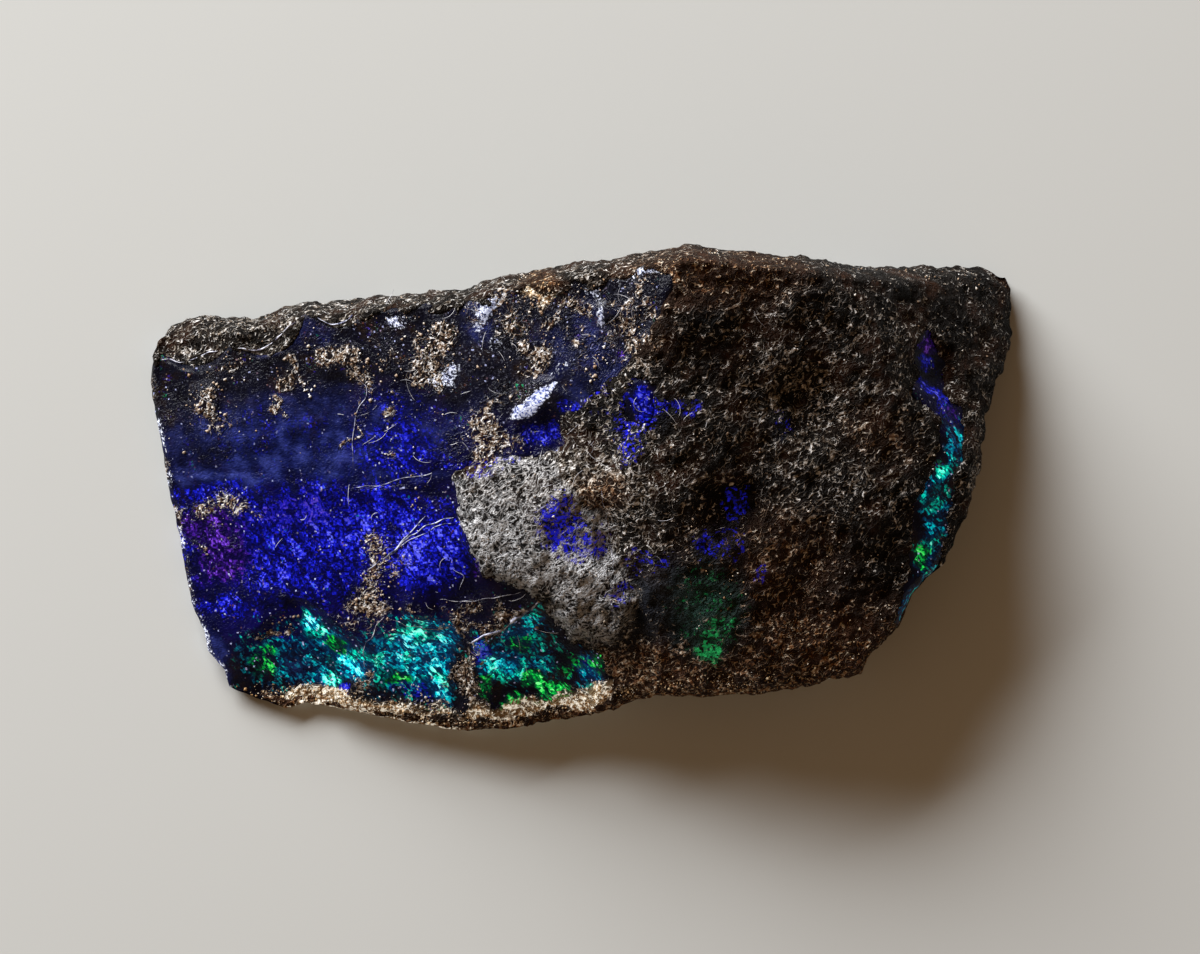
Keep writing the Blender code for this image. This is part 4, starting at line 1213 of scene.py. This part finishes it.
draw = np.random.RandomState(17)
grain_x, grain_y = draw.uniform(-22.4, 22.4, GRAIN_TRIES), draw.uniform(-12.5, 12.5, GRAIN_TRIES)
kept = draw.uniform(0.0, 1.0, GRAIN_TRIES) < np.maximum(grain_weight(grain_x, grain_y), LEAST_CHANCE)
clumps = np.array(CLUMPS)
clumps = np.repeat(clumps, clumps[:, 3].astype(int), axis=0)
in_clump = len(clumps)
grain_x = np.append(grain_x[kept], clumps[:, 0] + clumps[:, 2] * draw.normal(0.0, 1.0, in_clump))
grain_y = np.append(grain_y[kept], clumps[:, 1] + clumps[:, 2] * draw.normal(0.0, 1.0, in_clump))
radius = GRAIN_RADIUS * np.exp(draw.normal(0.0, 0.35, len(grain_x)))
radius[-in_clump:] *= CLUMP_GRAIN
tint = draw.beta(1.5, 1.2, len(grain_x))
tint[-in_clump:] = np.clip(clumps[:, 4] + draw.normal(0.0, 0.12, in_clump), 0.0, 1.0)
outline = FRONT_EDGE + RIGHT_EDGE[1:] + BACK_EDGE[-2::-1] + LEFT_EDGE[-2:0:-1]
kept = depth_inside(grain_x, grain_y, outline) > FROM_OUTLINE
grain_x, grain_y, radius, tint = (values[kept] for values in (grain_x, grain_y, radius, tint))
count = len(grain_x)
corners = np.array([(1, 0, 0), (-1, 0, 0), (0, 1, 0), (0, -1, 0), (0, 0, 1), (0, 0, -1)])
faces = np.array([(0, 2, 4), (2, 1, 4), (1, 3, 4), (3, 0, 4), (2, 0, 5), (1, 2, 5), (3, 1, 5), (0, 3, 5)])
turns = np.linalg.qr(draw.normal(size=(count, 3, 3)))[0]
turns *= np.sign(np.linalg.det(turns))[:, None, None]
shapes = corners * draw.uniform(0.4, 1.6, (count, 6, 1)) * radius[:, None, None]
centres = np.stack([grain_x, grain_y, skin_height(grain_x, grain_y) + 0.3 * radius], axis=-1)
grain_points = (shapes @ turns + centres[:, None]).reshape(-1, 3)
grain_points[:, 2] = np.maximum(grain_points[:, 2], LOWEST_GRAIN)
triangles = (np.arange(count)[:, None, None] * 6 + faces).reshape(-1, 3)
grain_mesh = mesh_of("grains", grain_points * fit_scale + fit_shift, np.zeros((0, 4), int), triangles)
front = smooth_step(1.6 - distance_to(grain_x, grain_y, FRONT_EDGE))
grain_warm = 0.7 * np.maximum(front, zone_of(grain_x, grain_y, WARM_ROCK))
write_values(grain_mesh, tint=np.repeat(tint, 6), warm=np.repeat(grain_warm, 6))
piece_of(grain_mesh, grain_material())

# ---------------------------------------------------------------------------------------
# The lint.
# Short pale fibres of cloth and paper caught on the rough places.  Each is a flat arc of
# random bend that lies on the stone and lifts a little in its middle.

LINT_COUNT = 80
LINT_STEPS = 14
LINT_HALF_WIDTH = 0.011


def lint_material():
    """White, slightly shiny fibre."""
    material, shader, at = new_material("lint")
    colour = ramp(noise(at, 0.8, 2.0), (0.40, (0.30, 0.30, 0.34)), (0.60, (0.85, 0.86, 0.90)))
    finish(shader, {"Base Color": colour, "Roughness": 0.45})
    return material


draw = np.random.RandomState(23)
t = np.linspace(-0.5, 0.5, LINT_STEPS)
lint_middle = np.stack([draw.normal(-4.0, 6.5, LINT_COUNT), draw.normal(2.0, 4.6, LINT_COUNT)], axis=-1)
lint_middle = np.clip(lint_middle, (-19.0, -9.0), (13.0, 9.5))
length = draw.uniform(0.3, 1.4, LINT_COUNT)[:, None]
heading = draw.uniform(0.0, 2.0 * np.pi, LINT_COUNT)[:, None]
heading = heading + draw.normal(0.0, 1.1, LINT_COUNT)[:, None] * t
steps = np.stack([np.cos(heading), np.sin(heading)], axis=-1) * (length / LINT_STEPS)[..., None]
lint_plan = lint_middle[:, None] + np.cumsum(steps, axis=1)
lift = 0.03 + draw.uniform(0.0, 0.12, LINT_COUNT)[:, None] * np.cos(np.pi * t)
skin = skin_height(lint_plan[..., 0], lint_plan[..., 1])
lint_height = 0.5 * skin + 0.5 * np.linspace(skin[:, 0], skin[:, -1], LINT_STEPS, axis=1)
lint_height = np.maximum(lint_height, skin) + lift
half_width = np.broadcast_to(LINT_HALF_WIDTH * (1.0 - 0.6 * np.abs(2.0 * t) ** 3), skin.shape)
paths = np.concatenate([lint_plan, lint_height[..., None]], axis=-1)
lint_points, lint_quads = tubes(paths, half_width, half_width)
lint_mesh = mesh_of("lint", lint_points * fit_scale + fit_shift, lint_quads)
piece_of(lint_mesh, lint_material())

# ---------------------------------------------------------------------------------------
# The table, the light and the camera.
# A plain pale table, low soft light from the back left, and a camera straight above.

TABLE_SIZE = 1.2
CAMERA_HEIGHT = 0.26
SENSOR_WIDTH = 36.0          # the lens follows from it, so any width gives the same view
STONE_LEVEL = 0.0045         # the outline is sharpest about this far up
VIEW_WIDTH = 1200 / 19.36 * MM
VIEW_CENTRE = (0.00096, 0.00078)
LIGHT_FROM = (-0.54, 0.77, 0.38)
LIGHT_AWAY = 0.55
LIGHT_SIZE = (0.46, 0.24)
LIGHT_POWER = 7.4
LIGHT_COLOUR = (0.98, 0.98, 1.0)
ROOM_COLOUR = (1.0, 0.60, 0.32)
ROOM_LIGHT = 0.16


def table_material():
    """Pale cream, dull."""
    material, shader, _ = new_material("table")
    finish(shader, {"Base Color": (0.63, 0.655, 0.635), "Roughness": 0.9})
    return material


half = TABLE_SIZE / 2.0
table_mesh = bpy.data.meshes.new("table")
table_mesh.from_pydata(
    [(-half, -half, 0.0), (half, -half, 0.0), (half, half, 0.0), (-half, half, 0.0)], [], [(0, 1, 2, 3)]
)
table_mesh.materials.append(table_material())
table = placed("table", table_mesh)

window = placed("window_light", bpy.data.lights.new("window_light", "AREA"))
window.data.shape = "RECTANGLE"
window.data.size, window.data.size_y = LIGHT_SIZE
window.data.energy = LIGHT_POWER
window.data.color = LIGHT_COLOUR
window.location = Vector(LIGHT_FROM).normalized() * LIGHT_AWAY
window.rotation_euler = Vector(LIGHT_FROM).to_track_quat("Z", "Y").to_euler()

world = bpy.data.worlds.new("room")
world.use_nodes = True
finish(world.node_tree.nodes["Background"], {"Color": ROOM_COLOUR, "Strength": ROOM_LIGHT})
bpy.context.scene.world = world
bpy.context.scene.view_settings.view_transform = "Standard"

camera = placed("camera", bpy.data.cameras.new("camera"))
camera.location = (*VIEW_CENTRE, CAMERA_HEIGHT)
camera.data.sensor_width = SENSOR_WIDTH
camera.data.lens = SENSOR_WIDTH * (CAMERA_HEIGHT - STONE_LEVEL) / VIEW_WIDTH
camera.data.clip_start = 0.01
bpy.context.scene.camera = camera
